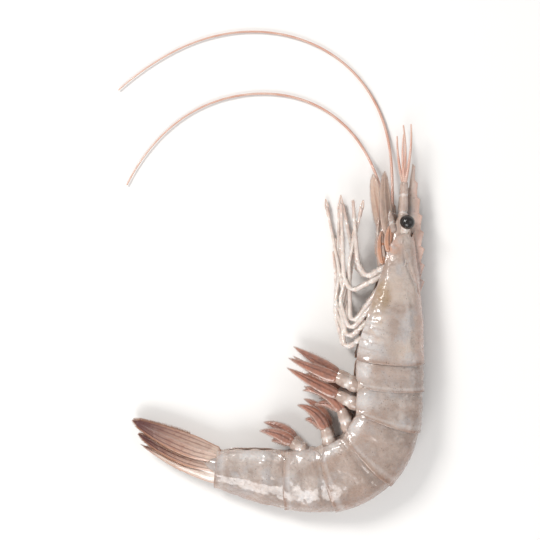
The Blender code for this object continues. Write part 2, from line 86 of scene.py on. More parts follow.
class Slot(Enum):
    """The record's material slots."""

    SHELL = "shell"
    LIMB = "limb"
    SWIMMING_LEG = "swimming_leg"
    TAIL = "tail"
    FEELER = "feeler"
    EYE = "eye"


def smooth_step(x: Array) -> Array:
    """The cubic 3t^2 - 2t^3, which rises from 0 at 0 to 1 at 1 with no slope at either end.

    Args:
        x: Values of any shape.

    Returns:
        The cubic of the values held between 0 and 1.
    """
    t = np.clip(x, 0.0, 1.0)
    return t * t * (3.0 - 2.0 * t)


def between(x: Array, rise: Pair, fall: Pair) -> Array:
    """A smooth window: a smooth step up over one stretch times a smooth step down over another.

    Args:
        x: Values of any shape.
        rise: Where the step up starts and ends.
        fall: Where the step down starts and ends.

    Returns:
        Values of 0 to 1.
    """
    return smooth_step((x - rise[0]) / (rise[1] - rise[0])) * smooth_step((fall[1] - x) / (fall[1] - fall[0]))


def bell(x: Array, centre: float, width: float) -> Array:
    """The bell exp(-((x - centre) / width)^2)."""
    return np.exp(-(((x - centre) / width) ** 2))


def through(x: Array, knots: tuple) -> Array:
    """A smooth curve through knots: cubic pieces that share their slopes.

    Args:
        x: Where to read the curve.
        knots: (place, value) pairs in rising order.

    Returns:
        The curve's values at x.
    """
    places, values = (np.array(column, float) for column in zip(*knots))
    slopes = np.gradient(values, places)
    i = np.clip(np.searchsorted(places, x) - 1, 0, len(places) - 2)
    span = places[i + 1] - places[i]
    t = np.clip((x - places[i]) / span, 0.0, 1.0)
    rise = smooth_step(t)
    bends = t * (1.0 - t) ** 2 * slopes[i] + t * t * (t - 1.0) * slopes[i + 1]
    return values[i] * (1.0 - rise) + values[i + 1] * rise + bends * span


def direction(heading: Array) -> Array:
    """The flat unit vector (cos, sin) of a heading in degrees."""
    angle = np.radians(heading)
    return np.stack([np.cos(angle), np.sin(angle)], -1)


def unit(vectors: Array) -> Array:
    """The vectors scaled to a length of 1."""
    return vectors / np.maximum(np.linalg.norm(vectors, axis=-1, keepdims=True), 1e-9)


def ripple(x: Array, y: Array, seed: int, waves: int = 14) -> Array:
    """Gentle unevenness: the sum of sine waves that run in seeded directions, over the root of their number.

    Args:
        x: First coordinate, in units of the usual wave length over 2 pi.
        y: Second coordinate in the same units.
        seed: Which unevenness.
        waves: How many sine waves are added.

    Returns:
        Values of about -1 to 1 in the shape of x.
    """
    draw = np.random.default_rng(seed)
    heading = draw.uniform(0.0, math.tau, waves)
    pitch = draw.uniform(*RIPPLE_PITCHES, waves)
    phase = draw.uniform(0.0, math.tau, waves)
    turn = x[..., None] * np.cos(heading) * pitch + y[..., None] * np.sin(heading) * pitch + phase
    return np.sin(turn).sum(-1) / math.sqrt(waves)


def grid_faces(rows: int, columns: int, around: bool) -> Array:
    """The quads of a grid of points that is listed row by row.

    Args:
        rows: How many rows of points.
        columns: How many points a row.
        around: Whether the last column meets the first.

    Returns:
        Faces of four point numbers each.
    """
    i = np.arange(rows - 1)[:, None]
    j = np.arange(columns if around else columns - 1)[None]
    near = i * columns + j
    far = i * columns + (j + 1) % columns
    return np.stack([near, far, far + columns, near + columns], -1).reshape(-1, 4)


def slab(outer: Array, thickness: float) -> tuple[Array, Array]:
    """A closed plate whose outer side is an open grid.

    Its inner side is the outer one moved against the normal, which is the cross product of the
    grid's two gradients, and a strip of quads round the rim joins the two.

    Args:
        outer: Points in a (rows, columns, 3) grid.
        thickness: How thick the plate is.

    Returns:
        Points and faces.
    """
    rows, columns = outer.shape[:2]
    normal = unit(np.cross(np.gradient(outer, axis=1), np.gradient(outer, axis=0)))
    inner = outer - normal * thickness
    count = rows * columns
    number = np.arange(count).reshape(rows, columns)
    rim = np.concatenate([number[0], number[1:, -1], number[-1, -2::-1], number[-2:0:-1, 0]])
    following = np.roll(rim, -1)
    strip = np.stack([rim, following, following + count, rim + count], -1)
    faces = grid_faces(rows, columns, False)
    points = np.concatenate([outer.reshape(-1, 3), inner.reshape(-1, 3)])
    return points, np.concatenate([faces, faces[:, ::-1] + count, strip])


def tube(path: Array, radii: Array, sides: int, flat: float = 1.0) -> tuple[Array, Array]:
    """A closed round skin: circles across a path, drawn in to a point at both ends.

    Within a radius of an end the circles shrink as a ball does, by sqrt(1 - (1 - d / r)^2).

    Args:
        path: Points in an (n, 3) array.
        radii: The radius at each point.
        sides: Points a circle.
        flat: Height of the section as a share of its width.

    Returns:
        Points and faces.
    """
    tangent = unit(np.gradient(path, axis=0))
    across = unit(np.cross(tangent, UP))
    over = np.cross(across, tangent)
    run = np.concatenate([[0.0], np.cumsum(np.linalg.norm(np.diff(path, axis=0), axis=1))])
    from_end = np.minimum(run, run[-1] - run)
    rounding = np.sqrt(np.clip(1.0 - (1.0 - np.minimum(from_end / radii, 1.0)) ** 2, 0.0, 1.0))
    angle = np.linspace(0.0, math.tau, sides, endpoint=False)[None, :, None]
    circle = np.cos(angle) * across[:, None] + np.sin(angle) * over[:, None] * flat
    points = path[:, None] + circle * (radii * rounding)[:, None, None]
    return points.reshape(-1, 3), grid_faces(len(path), sides, True)


def hairs(roots: Array, ends: Array, radius: float) -> tuple[Array, Array]:
    """Thin three-sided hairs that taper to a point: a spindle from each root to its end.

    Args:
        roots: Where the hairs start, (n, 3).
        ends: Where they end, (n, 3).
        radius: Their radius near the root.

    Returns:
        Points and faces.
    """
    askew = (0.31, 0.17, 0.93)
    angle = np.linspace(0.0, math.tau, HAIR_SIDES, endpoint=False)
    along = unit(ends - roots)
    across = unit(np.cross(along, askew))
    over = np.cross(along, across)
    spine = roots[:, None] + (ends - roots)[:, None] * HAIR_LEVELS[None, :, None]
    circle = np.cos(angle)[:, None] * across[:, None] + np.sin(angle)[:, None] * over[:, None]
    points = spine[:, :, None] + circle[:, None] * (HAIR_SIZES * radius)[None, :, None, None]
    faces = grid_faces(len(HAIR_LEVELS), HAIR_SIDES, True)
    shift = np.arange(len(roots))[:, None, None] * HAIR_POINTS
    return points.reshape(-1, 3), (faces[None] + shift).reshape(-1, 4)


def bristles(path: Array, radii: Array, count: int, seed: int) -> tuple[Array, Array]:
    """Short stiff hairs round the outer three quarters of a limb, leaning towards its tip.

    Args:
        path: The limb's centre line, (n, 3).
        radii: Its radius at each point.
        count: How many hairs.
        seed: Which unevenness.

    Returns:
        Points and faces.
    """
    draw = np.random.default_rng(seed)
    at = draw.integers(len(path) // 4, len(path) - 4, count)
    tangent = unit(np.gradient(path, axis=0))[at]
    turn = draw.uniform(0.0, math.tau, (count, 1))
    across = unit(np.cross(tangent, UP))
    out = np.cos(turn) * across + np.sin(turn) * np.cross(across, tangent)
    roots = path[at] + out * radii[at, None] * BRISTLE_ROOT
    lean = out * BRISTLE_LEAN[0] + tangent * BRISTLE_LEAN[1]
    ends = roots + lean * draw.uniform(*BRISTLE_REACH, (count, 1))
    return hairs(roots, ends, BRISTLE_RADIUS)


def even_path(start: Array, heading: Array, length: float, count: int) -> Array:
    """Points of a flat line whose heading changes on its way: the running sum of unit steps.

    Args:
        start: Its first point, (x, y).
        heading: Headings at even places.
        length: How long the line is.
        count: How many points to give.

    Returns:
        An (count, 2) array.
    """
    steps = direction(heading) * length / len(heading)
    line = np.concatenate([np.zeros((1, 2)), np.cumsum(steps, 0)])
    at = np.linspace(0.0, len(heading), count)
    number = np.arange(len(line))
    return start[:2] + np.stack([np.interp(at, number, line[:, i]) for i in (0, 1)], 1)


@dataclass
class Midline:
    """The body's midline: a flat curve that turns smoothly at the front of each ring."""

    notch: Pair = (36.455, 10.65)
    carapace: float = 35.0
    rings: tuple[float, ...] = (8.0, 9.0, 11.0, 11.0, 11.0, 20.0)
    head_heading: float = -95.5
    turns: tuple[float, ...] = (0.0, 0.0, 25.0, 31.0, 26.0, 8.0)
    turn_reach: float = 14.0
    heights: tuple = (
        (-30.0, 6.3),
        (0.0, 6.6),
        (31.0, 7.2),
        (60.0, 7.0),
        (88.0, 5.5),
        (105.0, 4.6),
        (130.0, 3.6),
    )
    worked_out: Pair = (-40.0, 140.0)
    step: float = 0.1

    def __post_init__(self) -> None:
        """Works out the curve as a running sum of unit steps."""
        self.starts = tuple(self.carapace + sum(self.rings[:i]) for i in range(len(self.rings)))
        self.end = self.carapace + sum(self.rings)
        self.places = np.arange(*self.worked_out, self.step)
        self.headings = np.full_like(self.places, self.head_heading)
        for start, turn in zip(self.starts, self.turns):
            self.headings -= turn * smooth_step((self.places - start) / self.turn_reach + 0.5)
        line = np.cumsum(direction(self.headings), 0) * self.step
        at_notch = [np.interp(0.0, self.places, line[:, i]) for i in (0, 1)]
        self.line = line - at_notch + self.notch

    def heading(self, along: Array) -> Array:
        """The tailward heading, in degrees."""
        return np.interp(along, self.places, self.headings)

    def place(self, along: Array, back: Array, side: Array) -> Array:
        """Points of places on the body: the curve plus back times its outward normal, side upwards.

        Args:
            along: Distance on the midline.
            back: Distance towards the back.
            side: Distance towards the left flank.

        Returns:
            Points, with (x, y, z) on the last axis.
        """
        along, back, side = np.broadcast_arrays(along, back, side)
        outward = direction(self.heading(along) + 90.0)
        x = np.interp(along, self.places, self.line[:, 0]) + outward[..., 0] * back
        y = np.interp(along, self.places, self.line[:, 1]) + outward[..., 1] * back
        return np.stack([x, y, through(along, self.heights) + side], -1)


@dataclass
class BodyForm:
    """The body's sections, each a rounded back over a fuller belly.

    A section is its place on the midline and its reach to the back, to the belly and to a side.
    """

    midline: Midline
    sections: tuple = (
        (0.0, 3.4, 4.3, 3.3),
        (9.0, 5.5, 5.0, 5.0),
        (16.0, 7.0, 6.8, 6.2),
        (24.0, 8.5, 9.0, 7.1),
        (35.0, 9.6, 11.0, 7.5),
        (48.0, 10.6, 9.9, 7.4),
        (58.0, 12.0, 9.0, 7.3),
        (68.0, 12.0, 8.6, 7.0),
        (79.0, 10.4, 8.4, 6.3),
        (92.0, 8.4, 7.4, 5.3),
        (105.0, 5.1, 5.8, 4.3),
    )
    side_power: float = 0.82
    belly_power: float = 0.62
    ring_step: float = 0.45
    belly_dent: float = 0.28
    dent_reach: float = 0.45
    keel: float = 0.6
    keel_reach: float = 0.2
    keel_rise: float = 20.0
    eye_notch: float = 1.4
    eye_angle: Pair = (0.75, 0.3)
    cheek_slant: float = 6.0
    cheek_angles: Pair = (1.2, 2.7)
    trim: float = 0.15

    def reach(self, along: Array, column: int) -> Array:
        """The reach to the back (1), to the belly (2) or to the side (3) at places on the body."""
        return through(along, tuple((row[0], row[column]) for row in self.sections))

    def skin(self, along: Array, angle: Array, swell: Array) -> Array:
        """Points of the skin at angles round the body, where 0 is the back and pi the belly.

        The section is a cosine towards the back, a power of it towards the belly, less a dent along
        the belly's middle, plus a narrow keel, and a power of the sine to the sides. All of it is
        drawn in by a small trim, so that the relief stays inside the solid's box.

        Args:
            along: Places on the midline.
            angle: Angles round the body.
            swell: How far the skin stands out from the plain form.

        Returns:
            Points, with (x, y, z) on the last axis.
        """
        cos, sin = np.cos(angle), np.sin(angle)
        swell = swell - self.trim
        above = (self.reach(along, 1) + swell) * np.maximum(cos, 0.0)
        below = (self.reach(along, 2) + swell) * np.maximum(-cos, 0.0) ** self.belly_power
        dent = self.belly_dent * bell(np.abs(angle), math.pi, self.dent_reach)
        rise = smooth_step((along - self.midline.starts[2]) / self.keel_rise)
        keel = self.keel * bell(angle, 0.0, self.keel_reach) * rise
        side = (self.reach(along, 3) + swell) * np.sign(sin) * np.abs(sin) ** self.side_power
        return self.midline.place(along, above - below * (1.0 - dent) + keel, side)

    def front_edge(self, angle: Array) -> Array:
        """Where the carapace's front edge lies: a bell at the eye and a slant back to the belly.

        Args:
            angle: Angles round the body.

        Returns:
            Places on the midline.
        """
        side = np.abs(angle)
        start, end = self.cheek_angles
        slant = self.cheek_slant * smooth_step((side - start) / (end - start))
        return self.eye_notch * bell(side, *self.eye_angle) + slant


class Piece:
    """Gathers the points and faces of one piece, with values that its finish reads."""

    def __init__(self, name: str) -> None:
        """Starts an empty piece.

        Args:
            name: The name of its object.
        """
        self.name = name
        self.points: list[Array] = []
        self.faces: list[Array] = []
        self.values: dict[str, list[Array]] = {}
        self.count = 0

    def add(self, shape: tuple[Array, Array], **values: Array | float) -> None:
        """Adds a shape. A value that a shape doesn't name is 0 on it.

        Args:
            shape: Points and faces, the faces counted from the shape's own first point.
            **values: Named values, one a point or one for all of them.
        """
        points, faces = shape
        self.faces.append(faces + self.count)
        self.points.append(points)
        for name in self.values | values:
            held = self.values.setdefault(name, [np.zeros(self.count)] if self.count else [])
            held.append(np.broadcast_to(np.asarray(values.get(name, 0.0), float).ravel(), len(points)))
        self.count += len(points)

    def add_tube(
        self, path: Array, radii: Array, sides: int, flat: float = 1.0, **values: Array | float
    ) -> None:
        """Adds a tube. A value that runs along it is the same all round each circle.

        Args:
            path: Points in an (n, 3) array.
            radii: The radius at each point.
            sides: Points a circle.
            flat: Height of the section as a share of its width.
            **values: Named values, one a point of the path or one for all of it.
        """
        for name, value in values.items():
            values[name] = value if np.isscalar(value) else np.repeat(value, sides)
        self.add(tube(path, radii, sides, flat), **values)

    def make(self, slot: Slot, finish: bpy.types.Material) -> None:
        """Makes the object: settles it on the table, welds it, faces it outwards and dresses it.

        The height z becomes (z + sqrt(z^2 + softness)) / 2, which never falls below the table.

        Args:
            slot: The record's slot that the finish belongs to.
            finish: Its material.
        """
        points = np.concatenate(self.points)
        points[:, 2] = (points[:, 2] + np.sqrt(points[:, 2] ** 2 + TABLE_SOFTNESS)) / 2.0
        mesh = bpy.data.meshes.new(self.name)
        mesh.from_pydata((points * MM).tolist(), [], np.concatenate(self.faces).tolist())
        for name, parts in self.values.items():
            layer = mesh.attributes.new(name, "FLOAT", "POINT")
            layer.data.foreach_set("value", np.concatenate(parts).astype(np.float32))
        bm = bmesh.new()
        bm.from_mesh(mesh)
        bmesh.ops.remove_doubles(bm, verts=bm.verts, dist=WELD_DISTANCE * MM)
        bmesh.ops.recalc_face_normals(bm, faces=bm.faces)
        bm.to_mesh(mesh)
        bm.free()
        mesh.shade_smooth()
        mesh.materials.append(finish)
        made = bpy.data.objects.new(self.name, mesh)
        bpy.context.scene.collection.objects.link(made)
        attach(made, BODY)
        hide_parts(SOLID)
        LOG.info("%s: %d faces, slot %s", self.name, len(mesh.polygons), slot.value)


class Socket:
    """A shader value that Python's arithmetic can use."""

    def __init__(self, graph: "Graph", output: bpy.types.NodeSocket) -> None:
        """Wraps an output socket."""
        self.graph = graph
        self.output = output

    def __add__(self, other: "Socket | float") -> "Socket":
        """self + other."""
        return self.graph.math("ADD", self, other)

    __radd__ = __add__

    def __sub__(self, other: "Socket | float") -> "Socket":
        """self - other."""
        return self.graph.math("SUBTRACT", self, other)

    def __rsub__(self, other: "Socket | float") -> "Socket":
        """other - self."""
        return self.graph.math("SUBTRACT", other, self)

    def __mul__(self, other: "Socket | float") -> "Socket":
        """self * other."""
        return self.graph.math("MULTIPLY", self, other)

    __rmul__ = __mul__

    def __abs__(self) -> "Socket":
        """The value without its sign."""
        return self.graph.math("ABSOLUTE", self)

    def sine(self) -> "Socket":
        """The sine of the value."""
        return self.graph.math("SINE", self)

    def ramp(self, low: float, high: float) -> "Socket":
        """A smooth rise from 0 at low to 1 at high, or a fall if high is the smaller.

        Args:
            low: Where the result is 0.
            high: Where it is 1.

        Returns:
            Values of 0 to 1.
        """
        ends = {"From Min": min(low, high), "From Max": max(low, high), "Value": self}
        ends |= {"To Min": float(low > high), "To Max": float(low < high)}
        node = self.graph.node("ShaderNodeMapRange", {"interpolation_type": "SMOOTHSTEP"}, ends)
        return Socket(self.graph, node.outputs["Result"])

    def near(self, centre: float, width: float) -> "Socket":
        """A smooth bump: 1 at centre, 0 from a width away."""
        return abs(self - centre).ramp(width, 0.0)


class Graph:
    """The node tree of one finish, with the colour that is laid down so far.

    The four mix numbers are the places of the Mix node's sockets for its factor and its colours.
    """

    mix_factor, mix_under, mix_over, mix_result = 0, 6, 7, 2
    speck_core = 0.45

    def __init__(self, name: str, ground: Colour, roughness: float, subsurface: float, coat: float) -> None:
        """Starts a wet finish.

        Args:
            name: The material's name.
            ground: The colour under all others.
            roughness: Roughness under the wet film.
            subsurface: How much light passes into it.
            coat: Weight of the wet film.
        """
        self.material = bpy.data.materials.new(name)
        self.material.use_nodes = True
        self.tree = self.material.node_tree
        self.shader = self.tree.nodes["Principled BSDF"]
        constants = {
            "Roughness": roughness,
            "Subsurface Weight": subsurface,
            "Subsurface Radius": (1.0, 0.62, 0.45),
            "Subsurface Scale": 1.6 * MM,
            "Coat Weight": coat,
            "Coat Roughness": 0.07,
            "Coat IOR": 1.47,
        }
        for key, value in constants.items():
            self.shader.inputs[key].default_value = value
        self.place = Socket(self, self.node("ShaderNodeTexCoord", {}, {}).outputs["Object"])
        self.colour: Socket | tuple = (*ground, 1.0)

    def node(self, kind: str, settings: dict, inputs: dict) -> bpy.types.Node:
        """Adds a node.

        Args:
            kind: The node's type.
            settings: Its own settings, which are made first.
            inputs: Values or Sockets for its sockets, by name or number.

        Returns:
            The new node.
        """
        made = self.tree.nodes.new(kind)
        for key, value in settings.items():
            setattr(made, key, value)
        for key, value in inputs.items():
            if isinstance(value, Socket):
                self.tree.links.new(value.output, made.inputs[key])
            else:
                made.inputs[key].default_value = value
        return made

    def math(self, operation: str, *values: Socket | float) -> Socket:
        """The result of a Math node."""
        made = self.node("ShaderNodeMath", {"operation": operation}, dict(enumerate(values)))
        return Socket(self, made.outputs[0])

    def value(self, name: str) -> Socket:
        """A named value that the piece carries."""
        return Socket(self, self.node("ShaderNodeAttribute", {"attribute_name": name}, {}).outputs["Fac"])

    def stretched(self, scale: tuple[float, float, float]) -> Socket:
        """The place on the piece, stretched along the axes."""
        made = self.node("ShaderNodeMapping", {}, {"Vector": self.place, "Scale": scale})
        return Socket(self, made.outputs["Vector"])

    def noise(self, size: float, detail: float = 2.0, place: Socket | None = None) -> Socket:
        """Cloudy unevenness of about 0 to 1, with patches of a size in millimetres."""
        inputs = {"Vector": place or self.place, "Scale": 1.0 / (size * MM), "Detail": detail}
        return Socket(self, self.node("ShaderNodeTexNoise", {}, inputs).outputs["Fac"])

    def specks(self, size: float, share: float) -> Socket:
        """Round soft specks on a pitch in millimetres, each with a radius of a share of the pitch.

        Args:
            size: The pitch.
            share: The share of the pitch.

        Returns:
            1 at the middle of a speck and 0 between them.
        """
        inputs = {"Vector": self.place, "Scale": 1.0 / (size * MM)}
        far = Socket(self, self.node("ShaderNodeTexVoronoi", {}, inputs).outputs["Distance"])
        return far.ramp(share, share * self.speck_core)

    def lay(self, colour: Colour, factor: Socket) -> None:
        """Lays a colour over the ones so far: under * (1 - factor) + colour * factor.

        Args:
            colour: The new colour.
            factor: How much of it shows, 0 to 1.
        """
        inputs = {self.mix_factor: factor, self.mix_under: self.colour, self.mix_over: (*colour, 1.0)}
        mixed = self.node("ShaderNodeMix", {"data_type": "RGBA"}, inputs)
        self.colour = Socket(self, mixed.outputs[self.mix_result])

    def finish(self, height: Socket, depth: float, **varying: Socket) -> bpy.types.Material:
        """Joins what varies to the shader.

        Args:
            height: Fine relief, 0 to 1.
            depth: What the relief's full height is, in millimetres.
            **varying: Sockets for inputs other than the colour, named with underscores.

        Returns:
            The finished material.
        """
        inputs = {"Strength": 1.0, "Distance": depth * MM, "Height": height}
        bump = Socket(self, self.node("ShaderNodeBump", {}, inputs).outputs["Normal"])
        varying |= {"Base_Color": self.colour, "Normal": bump}
        for key, value in varying.items():
            self.tree.links.new(value.output, self.shader.inputs[key.replace("_", " ")])
        return self.material


@dataclass(frozen=True)
class Patch:
    """A patch of the shell: centre and width along the midline, and centre and width round the body."""

    along: Pair
    around: Pair

    def mask(self, along: Socket, around: Socket) -> Socket:
        """The product of the bumps along and around."""
        return along.near(*self.along) * around.near(*self.around)


@dataclass(frozen=True)
class ShellFinish:
    """Wet grey-beige shell: grey clouds, faint bands, fine dark specks, pink back, warm edges, pale lobes,
    warm painted shade towards the back and the belly, and a painted highlight before each ring's rear edge.
    """

    pale: Colour = (0.46, 0.38, 0.34)
    cream: Colour = (0.54, 0.425, 0.355)
    deep: Colour = (0.22, 0.16, 0.13)
    tan: Colour = (0.35, 0.235, 0.18)
    steel: Colour = (0.41, 0.385, 0.385)
    # Brown of the gill streaks, also laid as painted shade towards the back and the belly.
    shade: Colour = (0.28, 0.185, 0.145)
    band: Colour = (0.18, 0.145, 0.125)
    pink: Colour = (0.58, 0.37, 0.3)
    olive: Colour = (0.3, 0.195, 0.112)
    orange: Colour = (0.52, 0.24, 0.14)
    edge: Colour = (0.25, 0.14, 0.095)
    # Milky white of the lobes and gills, also laid as a painted highlight before each ring's rear edge.
    milky_and_highlight: Colour = (0.62, 0.58, 0.565)
    vein: Colour = (0.12, 0.08, 0.06)
    speck: Colour = (0.09, 0.065, 0.055)
    carapace_end: Pair = (36.0, 34.0)
    bend: Pair = (64.0, 22.0)
    first_rings: Pair = (39.0, 8.0)
    dark_bands: tuple[Pair, Pair] = ((0.16, 0.3), (0.72, 0.3))
    liver: Patch = Patch((18.5, 7.5), (2.04, 0.6))
    cheek: Patch = Patch((4.5, 5.0), (2.0, 0.7))
    gills: Pair = (29.0, 11.0)
    gill_top: Pair = (1.45, 2.0)
    vein_line: Pair = (0.0, 0.13)
    rear_rim: Pair = (0.965, 0.99)
    rear_gleam: Pair = (0.91, 0.06)
    hinge: tuple[Pair, Pair] = ((0.045, 0.045), (1.62, 0.08))
    satin_end: Pair = (22.5, 18.5)
    satin_top: Pair = (1.5, 1.85)

    def dress(self) -> bpy.types.Material:
        """Builds the material from the values along, share and around of the plates.

        Returns:
            The finished material.
        """
        g = Graph("wet_grey_shell", self.pale, 0.3, 0.22, 0.9)
        along, share, around = g.value("along"), g.value("share"), g.value("around")
        carapace = along.ramp(*self.carapace_end)
        rings = 1.0 - carapace
        cloud, mottle, patch = g.noise(4.5, 3.0), g.noise(1.1, 4.0), g.noise(9.0, 2.0)
        self.lay_clouds(g, along, carapace, (cloud, mottle, patch))
        # Painted shade: darker towards the back and the belly, where the shell turns away at the outline.
        painted_edge_shade = around.ramp(0.95, 0.1) * (rings * 0.5 + 0.1) + around.ramp(1.9, 2.5) * 0.45
        g.lay(self.shade, painted_edge_shade)
        bands = share.near(*self.dark_bands[0]) * 0.5 + share.near(*self.dark_bands[1]) * 0.3
        g.lay(self.band, bands * rings * mottle.ramp(0.2, 0.6) * around.ramp(2.4, 0.9))
        lobes = around.ramp(1.75, 2.1) * around.ramp(2.62, 2.35) * share.near(0.5, 0.5) * rings
        g.lay(self.milky_and_highlight, lobes * cloud.ramp(0.25, 0.5) * 0.7)
        g.lay(self.pink, around.ramp(1.05, 0.2) * (0.15 + carapace * 0.7))
        liver = self.liver.mask(along, around).ramp(0.1, 0.5) * carapace
        g.lay(self.olive, liver * (g.noise(2.5).ramp(0.3, 0.6) * 0.5 + 0.4))
        cheek = self.cheek.mask(along, around) * carapace
        g.lay(self.orange, cheek * g.noise(1.8).ramp(0.3, 0.65) * 0.85)
        slanted = (along * 3.1 + around * 5.0 + mottle * 4.0).sine().ramp(0.2, 1.0)
        gills = along.near(*self.gills) * around.ramp(*self.gill_top) * carapace
        g.lay(self.milky_and_highlight, gills * cloud.ramp(0.3, 0.55) * 0.75)
        g.lay(self.shade, slanted * gills * 0.4)
        vein = around.near(*self.vein_line) * rings * g.noise(3.0).ramp(0.35, 0.6)
        g.lay(self.vein, vein * 0.45)
        g.lay(self.edge, share.ramp(*self.rear_rim) * (0.25 + around.ramp(1.5, 0.3) * 0.55))
        # Painted highlight: a pale band just before each ring's rear edge.
        g.lay(self.milky_and_highlight, share.near(*self.rear_gleam) * rings * 0.25)
        dots = g.specks(0.7, 0.3) * g.noise(2.6).ramp(0.45, 0.62)
        g.lay(self.speck, dots * 0.55 * around.ramp(2.6, 1.6))
        hinge = share.near(*self.hinge[0]) * around.near(*self.hinge[1]) * rings
        g.lay(self.speck, hinge * 0.9)
        pits = g.specks(0.5, 0.32) * 0.25
        wrinkles = g.noise(0.9, 4.0, g.stretched((1.0, 1.0, 2.2)))
        satin = along.ramp(*self.satin_end) * around.ramp(*self.satin_top)
        rough = 0.16 + mottle * 0.24 + satin * 0.22
        film = 1.0 - g.noise(2.0, 2.0).ramp(0.5, 0.72) * 0.5 - satin * 0.45
        return g.finish(wrinkles * 0.8 - pits, 0.13, Roughness=rough, Coat_Weight=film)

    def lay_clouds(
        self, g: Graph, along: Socket, carapace: Socket, noises: tuple[Socket, Socket, Socket]
    ) -> None:
        """Lays the large soft changes of colour: dark clouds, tan bend, cream head and grey patches.

        Args:
            g: The finish's graph.
            along: Place on the midline.
            carapace: 1 on the carapace and 0 on the rings.
            noises: Clouds, mottling and wide patches.
        """
        cloud, mottle, patch = noises
        g.lay(self.deep, cloud.ramp(0.38, 0.7) * 0.5 + mottle.ramp(0.42, 0.72) * 0.35)
        bend = along.near(*self.bend) * 0.5 + along.near(*self.first_rings) * 0.4
        g.lay(self.tan, patch.ramp(0.42, 0.66) * 0.4 + bend)
        g.lay(self.cream, carapace * patch.ramp(0.62, 0.35) * 0.6)
        g.lay(self.steel, g.noise(5.0, 3.0).ramp(0.48, 0.64) * (1.0 - bend) * 0.55)


@dataclass(frozen=True)
class FleshFinish:
    """Pale flesh and soft belly skin, with faint cross lines of muscle."""

    pale: Colour = (0.55, 0.46, 0.41)
    deep: Colour = (0.4, 0.27, 0.21)
    line_turn: float = 5.2
    head_end: Pair = (9.0, 1.0)

    def dress(self) -> bpy.types.Material:
        """Builds the material from the value along of the inner body.

        Returns:
            The finished material.
        """
        g = Graph("pale_flesh", self.pale, 0.35, 0.3, 0.7)
        lines = (g.value("along") * self.line_turn).sine().ramp(0.1, 1.0)
        cloud = g.noise(2.2, 3.0)
        g.lay(self.deep, cloud.ramp(0.4, 0.75) * 0.5 + lines * 0.18)
        g.lay(self.deep, g.value("along").ramp(*self.head_end) * 0.6)
        return g.finish(cloud * 0.6 + lines * 0.4, 0.12, Roughness=0.25 + cloud * 0.2)


@dataclass(frozen=True)
class LimbFinish:
    """Wet, pale limbs, whiter at their joints and warmer towards their tips, with a few specks."""

    name: str = "pale_limb"
    pale: Colour = (0.68, 0.6, 0.55)
    deep: Colour = (0.45, 0.35, 0.3)
    warm: Colour = (0.5, 0.3, 0.23)
    joint: Colour = (0.76, 0.7, 0.66)
    speck: Colour = (0.17, 0.1, 0.075)
    tip: Pair = (0.7, 1.0)

    def dress(self) -> bpy.types.Material:
        """Builds the material from the values share and joint of the limbs.

        Returns:
            The finished material.
        """
        g = Graph(self.name, self.pale, 0.3, 0.3, 0.9)
        cloud = g.noise(1.8, 3.0)
        g.lay(self.deep, cloud.ramp(0.35, 0.75) * 0.6)
        g.lay(self.warm, g.value("share").ramp(*self.tip) * 0.45)
        g.lay(self.joint, g.value("joint") * 0.7)
        g.lay(self.speck, g.specks(0.6, 0.3) * g.noise(2.0).ramp(0.5, 0.65) * 0.5)
        return g.finish(g.noise(0.5, 3.0), 0.05, Roughness=0.2 + cloud * 0.2)


@dataclass(frozen=True)
class SwimmingLegFinish:
    """Orange-pink blades with a darker groove, paler edges and tips, and red-brown specks."""

    name: str = "orange_swimming_leg"
    orange: Colour = (0.35, 0.15, 0.1)
    dusty: Colour = (0.21, 0.11, 0.085)
    groove: Colour = (0.1, 0.04, 0.03)
    pale: Colour = (0.52, 0.38, 0.32)
    edge: Pair = (0.72, 1.0)
    tip: Pair = (0.78, 1.0)
    root: Pair = (0.08, 0.0)
    rib_turns: Pair = (95.0, 9.0)

    def dress(self) -> bpy.types.Material:
        """Builds the material from the values share and across of the blades.

        Returns:
            The finished material.
        """
        g = Graph(self.name, self.orange, 0.3, 0.22, 0.85)
        share, across = g.value("share"), g.value("across")
        cloud = g.noise(2.0, 3.0)
        g.lay(self.dusty, cloud.ramp(0.35, 0.7) * 0.7)
        middle = across.near(0.0, 0.3) * share.near(0.5, 0.5)
        g.lay(self.groove, middle * 0.55)
        ends = share.ramp(*self.tip) * 0.5 + share.ramp(*self.root) * 0.8
        g.lay(self.pale, abs(across).ramp(*self.edge) * 0.6 + ends)
        g.lay(self.groove, g.specks(0.45, 0.32) * g.noise(1.6).ramp(0.45, 0.6) * 0.6)
        ribs = (share * self.rib_turns[0] + abs(across) * self.rib_turns[1]).sine() * 0.5 + 0.5
        return g.finish(cloud * 0.5 + ribs * 0.35, 0.07, Roughness=0.22 + cloud * 0.2)


